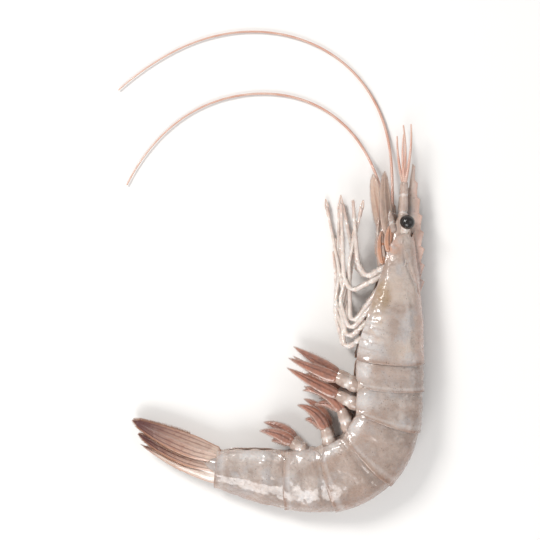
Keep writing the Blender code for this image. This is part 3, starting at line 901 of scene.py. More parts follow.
@dataclass(frozen=True)
class TailFinish:
    """Tail blades: brown-pink with fine lines, orange-brown edges, dark red towards the tips."""

    name: str = "brown_tail"
    pale: Colour = (0.62, 0.48, 0.4)
    brown: Colour = (0.38, 0.215, 0.16)
    dark: Colour = (0.08, 0.018, 0.02)
    edge: Colour = (0.38, 0.17, 0.09)
    tip: float = 0.42
    tip_end: float = 0.97
    brown_rise: Pair = (0.0, 0.55)
    edge_rise: Pair = (0.78, 0.98)
    line_turn: float = 17.0

    def dress(self) -> bpy.types.Material:
        """Builds the material from the values share and across of the blades.

        Returns:
            The finished material.
        """
        g = Graph(self.name, self.pale, 0.3, 0.2, 0.85)
        share, across = g.value("share"), g.value("across")
        cloud = g.noise(1.6, 3.0)
        g.lay(self.brown, share.ramp(*self.brown_rise) * 0.75 + cloud.ramp(0.4, 0.75) * 0.35)
        g.lay(self.dark, share.ramp(self.tip, self.tip_end) * 0.9 + cloud * share * 0.1)
        lines = (across * self.line_turn + cloud * 2.5).sine().ramp(0.0, 1.0)
        g.lay(self.dark, lines * share.ramp(0.0, 0.3) * 0.45)
        g.lay(self.edge, abs(across).ramp(*self.edge_rise) * 0.7)
        g.lay(self.pale, across.near(0.0, 0.12) * share.ramp(1.0, 0.5) * 0.35)
        g.lay(self.dark, g.specks(0.5, 0.3) * cloud.ramp(0.45, 0.6) * 0.5)
        return g.finish(lines * 0.6 + cloud * 0.4, 0.07, Roughness=0.2 + cloud * 0.2)


@dataclass(frozen=True)
class FeelerFinish:
    """Satin orange-pink feelers with fine rings that read the length along them."""

    pink: Colour = (0.55, 0.31, 0.235)
    ring: Colour = (0.36, 0.16, 0.11)
    pale: Colour = (0.66, 0.5, 0.43)
    ring_turn: float = 11.0
    tip: Pair = (0.6, 1.0)

    def dress(self) -> bpy.types.Material:
        """Builds the material from the values length and share of the feelers.

        Returns:
            The finished material.
        """
        g = Graph("pink_feeler", self.pink, 0.35, 0.2, 0.5)
        rings = (g.value("length") * self.ring_turn).sine() * 0.5 + 0.5
        cloud = g.noise(4.0, 2.0)
        g.lay(self.pale, cloud.ramp(0.35, 0.7) * 0.6)
        g.lay(self.ring, rings * 0.3)
        g.lay(self.pale, g.value("share").ramp(*self.tip) * 0.3)
        return g.finish(rings, 0.025, Roughness=0.3 + cloud * 0.15)


@dataclass(frozen=True)
class EyeFinish:
    """Glossy near-black eyes with fine facets and a brown sheen at the rim."""

    black: Colour = (0.012, 0.009, 0.008)
    brown: Colour = (0.09, 0.045, 0.025)
    rim: Pair = (0.42, 0.2)

    def dress(self) -> bpy.types.Material:
        """Builds the material from the value share, which runs from the stalk over the eye.

        Returns:
            The finished material.
        """
        g = Graph("black_eye", self.black, 0.2, 0.0, 0.25)
        facets = g.specks(0.16, 0.55) * 0.5
        g.lay(self.brown, g.value("share").ramp(*self.rim) * 0.9 + g.noise(0.8).ramp(0.6, 0.8) * 0.1)
        return g.finish(facets, 0.02, Roughness=0.14 + facets * 0.1)


@dataclass
class ShellPlates:
    """The carapace, the six overlapping rings and the soft body under them.

    A pair that names a place on a plate is a centre and a width: on the midline, round the body or
    as a share of the plate's length.
    """

    form: BodyForm
    thickness: float = 0.3
    carapace_reach: float = 2.5
    carapace_grid: tuple[int, int] = (150, 170)
    carapace_lip: float = 1.025
    cervical_line: tuple = ((3.0, 1.5), (8.0, 1.25), (12.0, 0.9), (17.0, 0.45), (20.0, 0.2))
    cervical_depth: float = 0.42
    gill_line: tuple = ((8.0, 1.75), (16.0, 1.2), (26.0, 0.98), (36.0, 0.95))
    gill_height: float = 0.16
    cheek_hollow: tuple[Pair, Pair] = ((8.0, 3.0), (1.85, 0.35))
    cheek_depth: float = 0.28
    muscle_scar: tuple[Pair, Pair] = ((31.5, 1.4), (0.42, 0.13))
    scar_rim: tuple[Pair, Pair] = ((31.5, 2.1), (0.42, 0.2))
    ring_columns: int = 150
    ring_rows: int = 48
    last_ring_rows: int = 64
    lobe_reach: float = 2.62
    lobe_rounding: float = 0.7
    overlap: float = 0.24
    lip: float = 0.04
    tuck_depth: float = 0.5
    ring_groove: Pair = (0.2, 0.05)
    side_ridge: tuple[Pair, Pair] = ((1.75, 0.16), (0.5, 0.3))
    last_fold: Pair = (1.25, 0.09)
    inset: float = 0.4
    head_reach: float = 4.0
    head_rows: tuple = ((-1.0, 0.0), (-0.999, 0.4), (-0.8, 0.66), (-0.35, 0.8), (-0.05, 0.92))
    flesh_grid: tuple[int, int] = (190, 96)
    spines_at: tuple = ((1.6, 1.02, 2.0), (3.4, 1.55, 1.4), (9.5, 1.3, 1.6))

    def plate(self, name: str, outer: Array, values: tuple, finish: bpy.types.Material) -> None:
        """Makes a plate of the shell's thickness, with the same values on its outer and inner side.

        Args:
            name: The piece's name.
            outer: Points of its outer side in a grid.
            values: Its place on the midline, share of its length and angle from the back.
            finish: The shell's material.
        """
        along, share, around = (np.tile(value.ravel(), 2) for value in np.broadcast_arrays(*values))
        piece = Piece(name)
        piece.add(slab(outer, self.thickness), along=along, share=share, around=around)
        piece.make(Slot.SHELL, finish)

    def relief(self, along: Array, angle: Array) -> Array:
        """The carapace's own relief: two lines, hollows, a rolled rim and light unevenness.

        The cervical groove is a bell across a line whose angle changes along the body, the gill
        ridge is a tanh step across another, and the lower rear part has loose wrinkles.

        Args:
            along: Places on the midline.
            angle: Angles round the body.

        Returns:
            How far the skin stands out.
        """
        side = np.abs(angle)
        cervical = (side - through(along, self.cervical_line)) * 6.0
        groove = -self.cervical_depth * bell(cervical, 0.0, 0.75) * between(along, (3.0, 6.0), (15.0, 19.0))
        gill = (side - through(along, self.gill_line)) * 9.0
        ridge = self.gill_height * np.tanh(gill) * between(along, (11.0, 17.0), (30.0, 36.0))
        cheek = -self.cheek_depth * bell(along, *self.cheek_hollow[0]) * bell(side, *self.cheek_hollow[1])
        rim = 0.16 * bell(side, self.carapace_reach - 0.06, 0.07)
        scar = -0.2 * bell(along, *self.muscle_scar[0]) * bell(side, *self.muscle_scar[1])
        scar = scar + 0.14 * bell(along, *self.scar_rim[0]) * bell(side, *self.scar_rim[1])
        uneven = 0.06 * ripple(along * 0.8, angle * 6.0, 3) + 0.025 * ripple(along * 2.4, angle * 15.0, 4)
        loose = smooth_step((side - 1.4) / 0.4) * smooth_step((along - 15.0) / 7.0)
        wrinkles = 0.07 * ripple(along * 2.6 + side * 4.0, side * 13.0, 5) * loose
        return groove + ridge + cheek + rim + scar + uneven + wrinkles

    def carapace(self, finish: bpy.types.Material) -> None:
        """The head's shell: from its notched front edge to the lip over the first ring.

        Args:
            finish: The shell's material.
        """
        rows, columns = self.carapace_grid
        share = np.linspace(0.0, self.carapace_lip, rows)[:, None]
        angle = np.linspace(-1.0, 1.0, columns)[None, :] * self.carapace_reach
        edge = self.form.front_edge(angle)
        bow = 0.9 * np.sin(np.abs(angle)) ** 2 * smooth_step((share - 0.8) / 0.2)
        along = self.form.midline.carapace * share + edge * (1.0 - share) ** 3 + bow
        flare = self.form.ring_step / 2.0 * np.clip(share, 0.0, 1.0) ** 6
        rolled = 0.08 * bell(share, 1.01, 0.014) + 0.16 * bell(share, 0.0, 0.012)
        swell = flare + rolled + self.relief(along, angle * np.ones_like(share))
        outer = self.form.skin(along, angle, swell)
        self.plate("carapace", outer, (along, share / self.carapace_lip, np.abs(angle)), finish)

    def ring(self, number: int, finish: bpy.types.Material) -> None:
        """One ring: tucked in under the one before, flared over the next, its lower edge a lobe.

        Args:
            number: 0 for the first ring behind the carapace.
            finish: The shell's material.
        """
        line = self.form.midline
        start, length = line.starts[number], line.rings[number]
        last = number == len(line.rings) - 1
        rows = self.last_ring_rows if last else self.ring_rows
        share = np.linspace(-self.overlap, 1.0 + (0.0 if last else self.lip), rows)[:, None]
        held = np.clip(share, 0.0, 1.0)
        rounding = self.lobe_rounding * np.abs(2.0 * held - 1.0) ** 3
        turn = np.linspace(-1.0, 1.0, self.ring_columns)[None, :]
        angle = turn * (self.lobe_reach - rounding)
        side = np.abs(angle)
        bow = 0.8 * np.sin(side) ** 2 * smooth_step(share)
        along = start + share * length + bow * (0.0 if last else 1.0)
        step = (held**3 - (1.0 - held) ** 3) * self.form.ring_step / 2.0
        tuck = -self.tuck_depth * smooth_step(-share / self.overlap)
        rim = 0.06 * bell(share, 1.0 + self.lip * 0.5, 0.02) + 0.1 * bell(np.abs(turn), 0.97, 0.03)
        groove = -0.12 * bell(share, *self.ring_groove) * smooth_step((side - 0.15) / 0.3)
        ridge = 0.14 * bell(side, *self.side_ridge[0]) * bell(share, *self.side_ridge[1])
        fold = 0.1 * bell(side, *self.last_fold) * float(last)
        uneven = 0.07 * ripple(along * 1.1, angle * 7.0, 20 + number)
        uneven = uneven + 0.035 * ripple(along * 3.2, angle * 19.0, 40 + number)
        outer = self.form.skin(along, angle, step + tuck + rim + groove + ridge + fold + uneven)
        self.plate(f"ring_{number + 1}", outer, (along, share, side), finish)

    def flesh(self, finish: bpy.types.Material) -> None:
        """The soft body inside the plates, closed at the mouth and at the tail.

        Args:
            finish: Its material.
        """
        rows, columns = self.flesh_grid
        line = self.form.midline
        angle = np.linspace(-math.pi, math.pi, columns, endpoint=False)
        edge = self.form.front_edge(angle)
        opening = self.form.skin(edge, angle, -self.inset) - line.place(edge, 0.0, 0.0)
        head = []
        for at, size in self.head_rows:
            centre = line.place(edge * (1.0 + at) + self.head_reach * at, 0.0, 0.0)
            head.append(centre + opening * size)
        share = np.linspace(0.03, 1.0, rows)[:, None]
        along = line.end * share + edge[None] * (1.0 - share) ** 8
        belly = smooth_step((np.abs(angle) - 2.3) / 0.5)[None]
        folds = 0.25 * np.sin(along * 1.15) * belly + 0.1 * ripple(along, angle[None] * 6.0, 9)
        body = self.form.skin(along, angle[None], folds - self.inset)
        end = line.place(np.full(columns, line.end - 0.2), 0.0, 0.0)
        points = np.concatenate([np.stack(head), body, end[None]])
        values = np.concatenate([np.zeros((len(head), columns)), along, np.full((1, columns), line.end)])
        piece = Piece("soft_body")
        piece.add((points.reshape(-1, 3), grid_faces(len(points), columns, True)), along=values)
        piece.make(Slot.SHELL, finish)

    def spines(self, finish: bpy.types.Material) -> None:
        """The small forward spines at the carapace's front edge and cheek, on both sides.

        Args:
            finish: The shell's material.
        """
        piece = Piece("cheek_spines")
        run = np.linspace(0.0, 1.0, 24)
        radii = np.linspace(0.4, 0.03, len(run))
        for side in Side:
            for along, angle, reach in self.spines_at:
                at = np.array([along, along - reach])
                ends = self.form.skin(at, np.full(2, angle * side.value), np.array([-0.25, 0.6]))
                path = ends[0] + (ends[1] - ends[0]) * run[:, None]
                piece.add_tube(path, radii, 10, along=along, share=0.5, around=angle)
        piece.make(Slot.SHELL, finish)

    def build(self, shell: bpy.types.Material, flesh: bpy.types.Material) -> None:
        """Builds every plate and the soft body.

        Args:
            shell: The plates' material.
            flesh: The soft body's material.
        """
        self.flesh(flesh)
        self.carapace(shell)
        for number in range(len(self.form.midline.rings)):
            self.ring(number, shell)
        self.spines(shell)


@dataclass
class Rostrum:
    """The flat toothed blade over the eyes, and its crest on the carapace."""

    form: BodyForm
    reach: float = 19.0
    crest_reach: float = 17.0
    half_thick: float = 0.58
    least_half_height: float = 0.02
    teeth: int = 8
    tooth_height: float = 1.2
    tooth_peak: float = 0.85
    grid: tuple[int, int] = (420, 32)
    height_at: float = -5.0
    lower: tuple = (
        (-19.0, 1.2),
        (-12.6, 0.9),
        (-11.2, 0.2),
        (-10.6, 0.75),
        (-6.8, 0.6),
        (-5.6, -0.1),
        (-5.0, 0.35),
        (0.0, 0.2),
        (9.0, 3.6),
        (17.0, 6.3),
    )

    def build(self, finish: bpy.types.Material) -> None:
        """A lens-shaped section between a lower line and a saw-toothed upper line.

        Each tooth rises slowly over most of its length and drops towards the next one.

        Args:
            finish: The shell's material.
        """
        rows, columns = self.grid
        share = np.linspace(0.0, 1.0, rows)[:, None]
        along = self.crest_reach - (self.crest_reach + self.reach) * share
        crest, brow = self.form.reach(np.array([self.crest_reach, 0.0]), 1)
        line = np.interp(along, (-self.reach, 0.0, self.crest_reach), (1.25, brow + 1.1, crest - 0.4))
        phase = (share * self.teeth) % 1.0
        drop = (1.0 - phase) / (1.0 - self.tooth_peak)
        tooth = np.where(phase < self.tooth_peak, (phase / self.tooth_peak) ** 1.5, drop)
        upper = line + 0.9 * np.sin(math.pi * share) + self.tooth_height * (1.0 - 0.5 * share) * tooth
        lower = np.interp(along, *zip(*self.lower))
        angle = np.linspace(0.0, math.tau, columns, endpoint=False)[None, :]
        middle, half = (upper + lower) / 2.0, np.maximum((upper - lower) / 2.0, self.least_half_height)
        rise = np.cos(angle)
        thick = self.half_thick * np.sign(np.sin(angle)) * np.abs(np.sin(angle)) ** 1.3
        thick = thick * (1.0 + 0.35 * bell(rise, -0.2, 0.3)) * smooth_step((1.0 - share) * 9.0 + 0.12) / 1.35
        points = self.form.midline.place(along, middle + half * rise, 0.0)
        points[..., 2] = through(np.array([self.height_at]), self.form.midline.heights)[0] + thick
        ends = [np.repeat(row.mean(0, keepdims=True), columns, 0)[None] for row in (points[0], points[-1])]
        points = np.concatenate([ends[0], points, ends[1]])
        around = np.broadcast_to(0.35 + 0.5 * (1.0 - rise), (len(points), columns))
        piece = Piece("rostrum")
        shape = (points.reshape(-1, 3), grid_faces(len(points), columns, True))
        piece.add(shape, along=5.0, share=0.5, around=around)
        piece.make(Slot.SHELL, finish)


@dataclass
class Eyes:
    """Two round eyes on short stalks beside the rostrum."""

    form: BodyForm
    radius: float = 2.079
    flatness: float = 0.92
    root: tuple[float, float, float] = (1.5, 0.4, 1.2)
    centre: tuple[float, float, float] = (-2.6, 1.0, 3.9)
    stalk_radii: tuple[float, ...] = (1.45, 1.2, 1.25, 1.6)
    stalk_share: float = 0.82
    grid: tuple[int, int] = (40, 48)

    def build(self, finish: bpy.types.Material, stalk_finish: bpy.types.Material) -> None:
        """A dark ball, flattened a little along its stalk, in a collar at the stalk's end.

        Args:
            finish: The eyes' material.
            stalk_finish: The stalks' material.
        """
        rows, columns = self.grid
        eyes, stalks = Piece("eyes"), Piece("eye_stalks")
        polar = np.linspace(0.0, math.pi, rows)[:, None, None]
        turn = np.linspace(0.0, math.tau, columns, endpoint=False)[None, :, None]
        run = np.linspace(0.0, 1.0, 30)
        radii = np.interp(run, np.linspace(0.0, 1.0, len(self.stalk_radii)), self.stalk_radii)
        for side in Side:
            places = (self.root, self.centre)
            root, centre = (self.form.midline.place(x, back, side.value * out) for x, back, out in places)
            axis = unit(centre - root)
            across = unit(np.cross(axis, UP))
            over = np.cross(across, axis)
            circle = np.cos(turn) * across + np.sin(turn) * over
            ball = -np.cos(polar) * axis * self.flatness + np.sin(polar) * circle
            points = (centre + ball * self.radius).reshape(-1, 3)
            share = np.repeat(polar.ravel() / math.pi, columns)
            eyes.add((points, grid_faces(rows, columns, True)), share=share)
            path = root + (centre - root) * self.stalk_share * run[:, None]
            stalks.add_tube(path, radii, 24, share=0.2, joint=bell(radii, 1.6, 0.15))
        eyes.make(Slot.EYE, finish)
        stalks.make(Slot.LIMB, stalk_finish)


@dataclass(frozen=True)
class Leg:
    """One walking leg: where it leaves the belly, its (length, heading) stretches and its thickness."""

    along: float
    stretches: tuple
    radius: float


@dataclass
class WalkingLegs:
    """The jaw leg and the five walking legs of each side, folded forwards."""

    form: BodyForm
    legs: tuple[Leg, ...] = (
        Leg(9.5, ((4.5, 210.0), (4.0, 122.0), (18.0, 94.0)), 0.95),
        Leg(12.0, ((8.0, 208.0), (4.0, 118.0), (23.0, 92.0)), 0.8),
        Leg(15.5, ((10.0, 234.0), (16.0, 91.0), (18.0, 77.0)), 0.8),
        Leg(20.5, ((7.0, 229.0), (8.0, 107.0), (10.0, 74.0), (11.0, 82.0)), 0.8),
        Leg(25.5, ((4.5, 222.0), (8.0, 100.0), (12.0, 76.0), (8.0, 86.0)), 0.76),
        Leg(30.0, ((3.0, 216.0), (9.0, 92.0), (11.0, 77.0), (7.0, 84.0)), 0.76),
    )
    root_depth: float = 2.4
    root_side: float = 2.4
    right_swing: tuple[float, ...] = (7.0, 9.0, 11.0, 8.0, 10.0, 12.0)
    right_rest: float = 1.2
    left_rest: float = 7.6
    left_rest_fall: float = 0.35
    soften: float = 4.0
    joint_width: float = 0.55
    hand: float = 5.5
    with_pincers: tuple[int, ...] = (1, 2, 3)
    pincer: float = 3.4
    jaw_bristles: int = 90
    samples: int = 150

    def path(self, number: int, side: Side) -> tuple[Array, Array, Array]:
        """The leg's centre line, the run along it and how near each point is to a joint.

        The heading is the first stretch's plus a smooth step at each joint.

        Args:
            number: Which leg, 0 for the jaw leg.
            side: Which flank.

        Returns:
            Points, distances along the leg, and joint values of 0 to 1.
        """
        leg = self.legs[number]
        depth = self.root_depth - self.form.reach(np.array(leg.along), 2)
        root = self.form.midline.place(leg.along, depth, side.value * self.root_side)
        lengths, headings = np.array(leg.stretches, float).T
        lengths[0] += self.root_depth
        headings[1:] += self.right_swing[number] if side is Side.RIGHT else 0.0
        corners = np.cumsum(lengths)[:-1]
        fine = np.linspace(0.0, lengths.sum(), 400)
        turns = np.diff(headings)[:, None] * smooth_step((fine - corners[:, None]) / self.soften + 0.5)
        flat = even_path(root, headings[0] + turns.sum(0), lengths.sum(), self.samples)
        run = np.linspace(0.0, lengths.sum(), self.samples)
        rest = self.right_rest if side is Side.RIGHT else self.left_rest - self.left_rest_fall * number
        height = root[2] + (rest - root[2]) * smooth_step(run / run[-1] * 1.4)
        places = np.concatenate([corners, [lengths[0] * 0.5, run[-1] - self.hand]])
        joint = bell(run[:, None], places[None], self.joint_width).max(1)
        return np.column_stack([flat, height]), run, joint

    def build(self, finish: bpy.types.Material) -> None:
        """Limbs swollen at their joints; small pincers end three pairs, points the others.

        Args:
            finish: The legs' material.
        """
        for side in Side:
            for number, leg in enumerate(self.legs):
                path, run, joint = self.path(number, side)
                share = run / run[-1]
                knuckle = np.maximum(np.interp(run + 0.75, run, joint), np.interp(run - 0.75, run, joint))
                radii = leg.radius * (1.05 - 0.6 * share) * (0.9 + 0.16 * knuckle - 0.24 * joint)
                piece = Piece(f"{'jaw_leg' if number == 0 else f'walking_leg_{number}'}_{side.word}")
                claw = number in self.with_pincers
                held = run <= run[-1] - self.pincer * 0.6 if claw else run >= 0.0
                if claw:
                    radii = radii * (1.0 + 0.45 * bell(run, run[-1] - self.pincer, 1.6))
                piece.add_tube(path[held], radii[held], 14, share=share[held], joint=joint[held])
                if claw:
                    self.add_fingers(piece, path, run, leg.radius * 0.42)
                if number == 0:
                    piece.add(bristles(path, radii, self.jaw_bristles, 11), share=0.9, joint=0.0)
                piece.make(Slot.LIMB, finish)

    def add_fingers(self, piece: Piece, path: Array, run: Array, radius: float) -> None:
        """Adds two fingers that bow apart by a half sine and meet at the tip.

        Args:
            piece: The leg's piece.
            path: The leg's centre line.
            run: Distances along the leg.
            radius: The fingers' radius at their root.
        """
        held = run >= run[-1] - self.pincer
        line, share = path[held], np.linspace(0.0, 1.0, held.sum())
        across = unit(np.cross(np.gradient(line, axis=0), UP))
        for turn in (-1.0, 1.0):
            bow = turn * (0.14 + 0.34 * np.sin(math.pi * share**0.8)) * (1.0 - share * 0.6)
            finger = line + across * bow[:, None]
            piece.add_tube(finger, radius * (1.0 - 0.65 * share), 10, share=1.0, joint=0.0)


@dataclass(frozen=True)
class Blade:
    """A thin leaf: it leaves its root at the first heading and height and reaches its tip at the last.

    Its outline rises from stem, a share of the half width, to its widest share of the length, then
    falls to the tip, the more bluntly the smaller blunt is. Roll turns it about its spine.
    """

    root: tuple = (0.0, 0.0, 0.0)
    headings: Pair = (0.0, 0.0)
    length: float = 1.0
    half_width: float = 1.0
    thick: float = 1.0
    drop: float = 0.0
    roll: float = 0.0
    widest: float = 0.5
    stem: float = 0.4
    blunt: float = 0.5
    end_slope: float = 14.0
    hair_radius: float = 0.06

    def fitted(self, root: Array, headings: Pair, length: float, side: Side) -> "Blade":
        """The same kind of leaf at a root, with its own headings and length, rolled for its flank.

        Args:
            root: Where it starts.
            headings: Its headings at the root and at the tip.
            length: Its length.
            side: Which flank. The roll is for the left one and is turned round for the right one.

        Returns:
            The new leaf.
        """
        roll = side.value * self.roll
        return replace(self, root=tuple(root), headings=headings, length=length, roll=roll)

    def outline(self, share: Array) -> Array:
        """Half width at a share of the length: a rounded rise to the widest place, then a point.

        Args:
            share: Share of the length.

        Returns:
            Distances from the spine.
        """
        rise = self.stem + (1.0 - self.stem) * smooth_step(share / self.widest)
        past = np.clip((share - self.widest) / (1.0 - self.widest), 0.0, 1.0)
        return self.half_width * rise * (1.0 - past**1.8) ** self.blunt

    def closing(self, share: Array) -> Array:
        """What draws both ends in to points: a slope times s (1 - s), at most 1."""
        return np.minimum(1.0, self.end_slope * share * (1.0 - share))

    def place(self, share: Array, across: Array, up: Array) -> Array:
        """Points of the leaf: across and up are rolled about its spine, which bends in the plane.

        Args:
            share: Share of the length.
            across: Distance across the leaf.
            up: Distance out of its plane.

        Returns:
            Points, with (x, y, z) on the last axis.
        """
        roll = math.radians(self.roll)
        flat = across * math.cos(roll) - up * math.sin(roll)
        high = across * math.sin(roll) + up * math.cos(roll)
        fine = np.linspace(0.0, 1.0, 60)
        heading = self.headings[0] + (self.headings[1] - self.headings[0]) * fine
        line = np.cumsum(direction(heading), 0) * self.length / len(fine)
        left = direction(np.interp(share, fine, heading) + 90.0)
        x = self.root[0] + np.interp(share, fine, line[:, 0]) + left[..., 0] * flat
        y = self.root[1] + np.interp(share, fine, line[:, 1]) + left[..., 1] * flat
        return np.stack([x, y, self.root[2] - self.drop * share + high], -1)

    def add(self, piece: Piece, relief: Callable[[Array, Array], Array], grid: tuple[int, int]) -> None:
        """Adds the leaf to a piece as a closed skin: an ellipse across it, sharpened at its edges.

        Args:
            piece: The piece that it belongs to.
            relief: Height of its relief by share of the length and of the width.
            grid: Points along it and round it.
        """
        rows, around = grid
        run = np.linspace(0.0, 1.0, rows)[:, None]
        share = (run + (1.0 - np.cos(math.pi * run)) / 2.0) / 2.0
        angle = np.linspace(0.0, math.tau, around, endpoint=False)[None, :]
        end = self.closing(share)
        wide, sin = np.cos(angle), np.sin(angle)
        body = np.sign(sin) * np.abs(sin) ** 1.4 * self.thick * (1.0 - 0.8 * share)
        up = (body + relief(share, wide) * np.sign(sin) * np.abs(sin) ** 0.5) * end
        points = self.place(share, wide * self.outline(share) * end, up)
        values = [value.ravel() for value in np.broadcast_arrays(share, wide)]
        piece.add((points.reshape(-1, 3), grid_faces(rows, around, True)), share=values[0], across=values[1])

    def add_fringe(self, piece: Piece, count: int, length: float, start: float, seed: int) -> None:
        """Adds fine hairs along both edges, leaning towards the tip.

        Args:
            piece: The piece that it belongs to.
            count: Hairs on each edge.
            length: Their usual length.
            start: The share of the blade's length where they start.
            seed: Which unevenness.
        """
        draw = np.random.default_rng(seed)
        share = np.linspace(start, 0.995, count)
        width = self.outline(share) * self.closing(share) * 0.95
        lean = 0.35 + 0.65 * smooth_step((share - 0.5) / 0.5)
        ahead = share + length * lean / self.length * 0.9
        for edge in (-1.0, 1.0):
            root = self.place(share, edge * width, 0.0)
            tip = self.place(ahead, edge * (width + length * (1.1 - lean)), 0.0)
            reach = draw.uniform(0.75, 1.1, (count, 1))
            stray = draw.normal(0.0, 0.06, (count, 3))
            ends = root + (tip - root) * reach + stray
            piece.add(hairs(root, ends, self.hair_radius), share=share.repeat(HAIR_POINTS), across=edge)


@dataclass
class MouthParts:
    """The palps and small plates in front of the jaw legs, along the head's lower edge, on both sides.

    A palp is three places and a radius. A plate is a place, a length and its first heading.
    """

    form: BodyForm
    palps: tuple = (
        ((11.0, -4.6, 1.2), (4.0, -7.0, 1.5), (-3.5, -6.6, 1.0), 0.6),
        ((8.5, -4.0, 2.0), (2.5, -6.0, 2.3), (-4.5, -5.2, 1.8), 0.65),
        ((6.0, -3.0, 2.7), (0.5, -4.6, 2.9), (-5.0, -3.7, 2.3), 0.55),
    )
    palp_joints: Pair = (0.36, 0.68)
    palp_bristles: int = 50
    plates: tuple = (((10.0, -4.4, 2.3), 10.0, 100.5), ((6.5, -3.2, 2.9), 8.0, 92.5))
    plate: Blade = Blade(half_width=1.5, thick=0.8, roll=30.0, widest=0.4, stem=0.6, blunt=0.6)
    plate_tip_heading: float = 82.0
    plate_grid: tuple[int, int] = (50, 36)
    samples: int = 80

    def build(self, finish: bpy.types.Material, limb: bpy.types.Material) -> None:
        """Three palps and two overlapping plates a side.

        A palp follows the curve (1-t)^2 a + 2t(1-t) b + t^2 c through its three places, and thins.

        Args:
            finish: The plates' material.
            limb: The palps' material.
        """
        line = self.form.midline
        share = np.linspace(0.0, 1.0, self.samples)
        t = share[:, None]
        for side in Side:
            palps = Piece(f"palps_{side.word}")
            for number, (*places, radius) in enumerate(self.palps):
                a, b, c = (line.place(x, back, side.value * out) for x, back, out in places)
                path = (1.0 - t) ** 2 * a + 2.0 * t * (1.0 - t) * b + t**2 * c
                joint = bell(t, np.array([self.palp_joints]), 0.035).max(1)
                radii = radius * (1.2 - 0.85 * share) * (1.0 - 0.25 * joint)
                palps.add_tube(path, radii, 14, share=share, joint=joint)
                palps.add(bristles(path, radii, self.palp_bristles, 60 + number), share=0.9, joint=0.0)
            palps.make(Slot.LIMB, limb)
            plates = Piece(f"mouth_plates_{side.word}")
            for (along, back, out), length, heading in self.plates:
                root = line.place(along, back, side.value * out)
                blade = self.plate.fitted(root, (heading, self.plate_tip_heading), length, side)
                blade.add(plates, SwimmingLegs.relief, self.plate_grid)
                blade.add_fringe(plates, 40, 0.8, 0.35, 65 + int(along))
            plates.make(Slot.SWIMMING_LEG, finish)


@dataclass(frozen=True)
class Pleopod:
    """One swimming leg: where it leaves the belly, its headings at the stem and the tip, its lengths."""

    along: float
    first: float
    last: float
    stem: float
    blade: float


@dataclass
class SwimmingLegs:
    """Five pairs of swimming legs: a stout stem, a long outer blade and a short inner one."""

    form: BodyForm
    legs: tuple[Pleopod, ...] = (
        Pleopod(44.0, 158.0, 157.0, 4.5, 15.5),
        Pleopod(50.0, 153.0, 151.0, 4.5, 17.0),
        Pleopod(61.0, 110.0, 192.0, 4.5, 14.0),
        Pleopod(70.5, 104.0, 172.0, 3.2, 11.5),
        Pleopod(79.5, 138.0, 182.0, 2.6, 10.5),
    )
    root_depth: float = 3.0
    root_side: float = 2.9
    right_swing: Pair = (9.0, 8.0)
    stem_drop: float = -0.12
    stem_radii: tuple[float, ...] = (1.95, 1.95, 1.9, 1.75, 1.4, 0.8)
    stem_reach: float = 1.12
    stem_flatness: float = 0.85
    stem_joint: Pair = (0.5, 0.08)
    stem_samples: int = 44
    blade_start: float = 0.8
    outer: Blade = Blade(half_width=1.75, thick=1.15, drop=0.8, roll=24.0, widest=0.2, stem=0.8, blunt=1.0)
    inner: Blade = Blade(half_width=1.25, thick=0.9, drop=1.2, roll=14.0, widest=0.25, stem=0.8, blunt=1.0)
    inner_length: float = 0.62
    inner_turn: Pair = (14.0, 12.0)
    blade_grid: tuple[int, int] = (56, 40)

    @staticmethod
    def relief(share: Array, across: Array) -> Array:
        """A groove down the middle with a rib on each side, and fine slanting ribs.

        Args:
            share: Share of the blade's length.
            across: Place across it, from -1 to 1.

        Returns:
            How far the relief stands out.
        """
        groove = -0.3 * bell(across, 0.0, 0.14) + 0.1 * bell(np.abs(across), 0.34, 0.12)
        slant = 0.045 * np.sin(share * 60.0 + np.abs(across) * 6.0)
        return (groove + slant) * smooth_step(share * 6.0) * smooth_step((1.0 - share) * 6.0)

    def stem(self, name: str, root: Array, reach: Array, finish: bpy.types.Material) -> None:
        """Makes one stem: a flattened tube with a narrow joint and faint rings.

        Args:
            name: The piece's name.
            root: Where it leaves the belly.
            reach: From its root to its end.
            finish: Its material.
        """
        share = np.linspace(0.0, self.stem_reach, self.stem_samples)
        joint = bell(share, *self.stem_joint)
        radii = np.interp(share, np.linspace(0.0, self.stem_reach, len(self.stem_radii)), self.stem_radii)
        radii = radii * (1.0 - 0.12 * joint + 0.03 * np.sin(share * 25.0))
        piece = Piece(name)
        path = root + reach * share[:, None]
        piece.add_tube(path, radii, 24, self.stem_flatness, share=share * 0.9, joint=joint)
        piece.make(Slot.LIMB, finish)

    def build(self, finish: bpy.types.Material, stem_finish: bpy.types.Material) -> None:
        """Makes a stem piece and a blade piece for each leg.

        Args:
            finish: The blades' material.
            stem_finish: The stems' material.
        """
        for side in Side:
            swing = self.right_swing if side is Side.RIGHT else (0.0, 0.0)
            for number, leg in enumerate(self.legs):
                depth = self.root_depth - self.form.reach(np.array(leg.along), 2)
                root = self.form.midline.place(leg.along, depth, side.value * self.root_side)
                first, last = leg.first - swing[0], leg.last - swing[1]
                reach = np.array([*direction(np.array(first)), self.stem_drop]) * (leg.stem + self.root_depth)
                self.stem(f"swimming_leg_stem_{number + 1}_{side.word}", root, reach, stem_finish)
                start = root + reach * self.blade_start
                turned = (first + self.inner_turn[0], last + self.inner_turn[1])
                outer = self.outer.fitted(start, (first, last), leg.blade, side)
                inner = self.inner.fitted(start, turned, leg.blade * self.inner_length, side)
                piece = Piece(f"swimming_leg_blades_{number + 1}_{side.word}")
                for order, blade in enumerate((outer, inner)):
                    blade.add(piece, self.relief, self.blade_grid)
                    blade.add_fringe(piece, 46, 0.9, 0.3, 100 + 10 * number + order)
                piece.make(Slot.SWIMMING_LEG, finish)


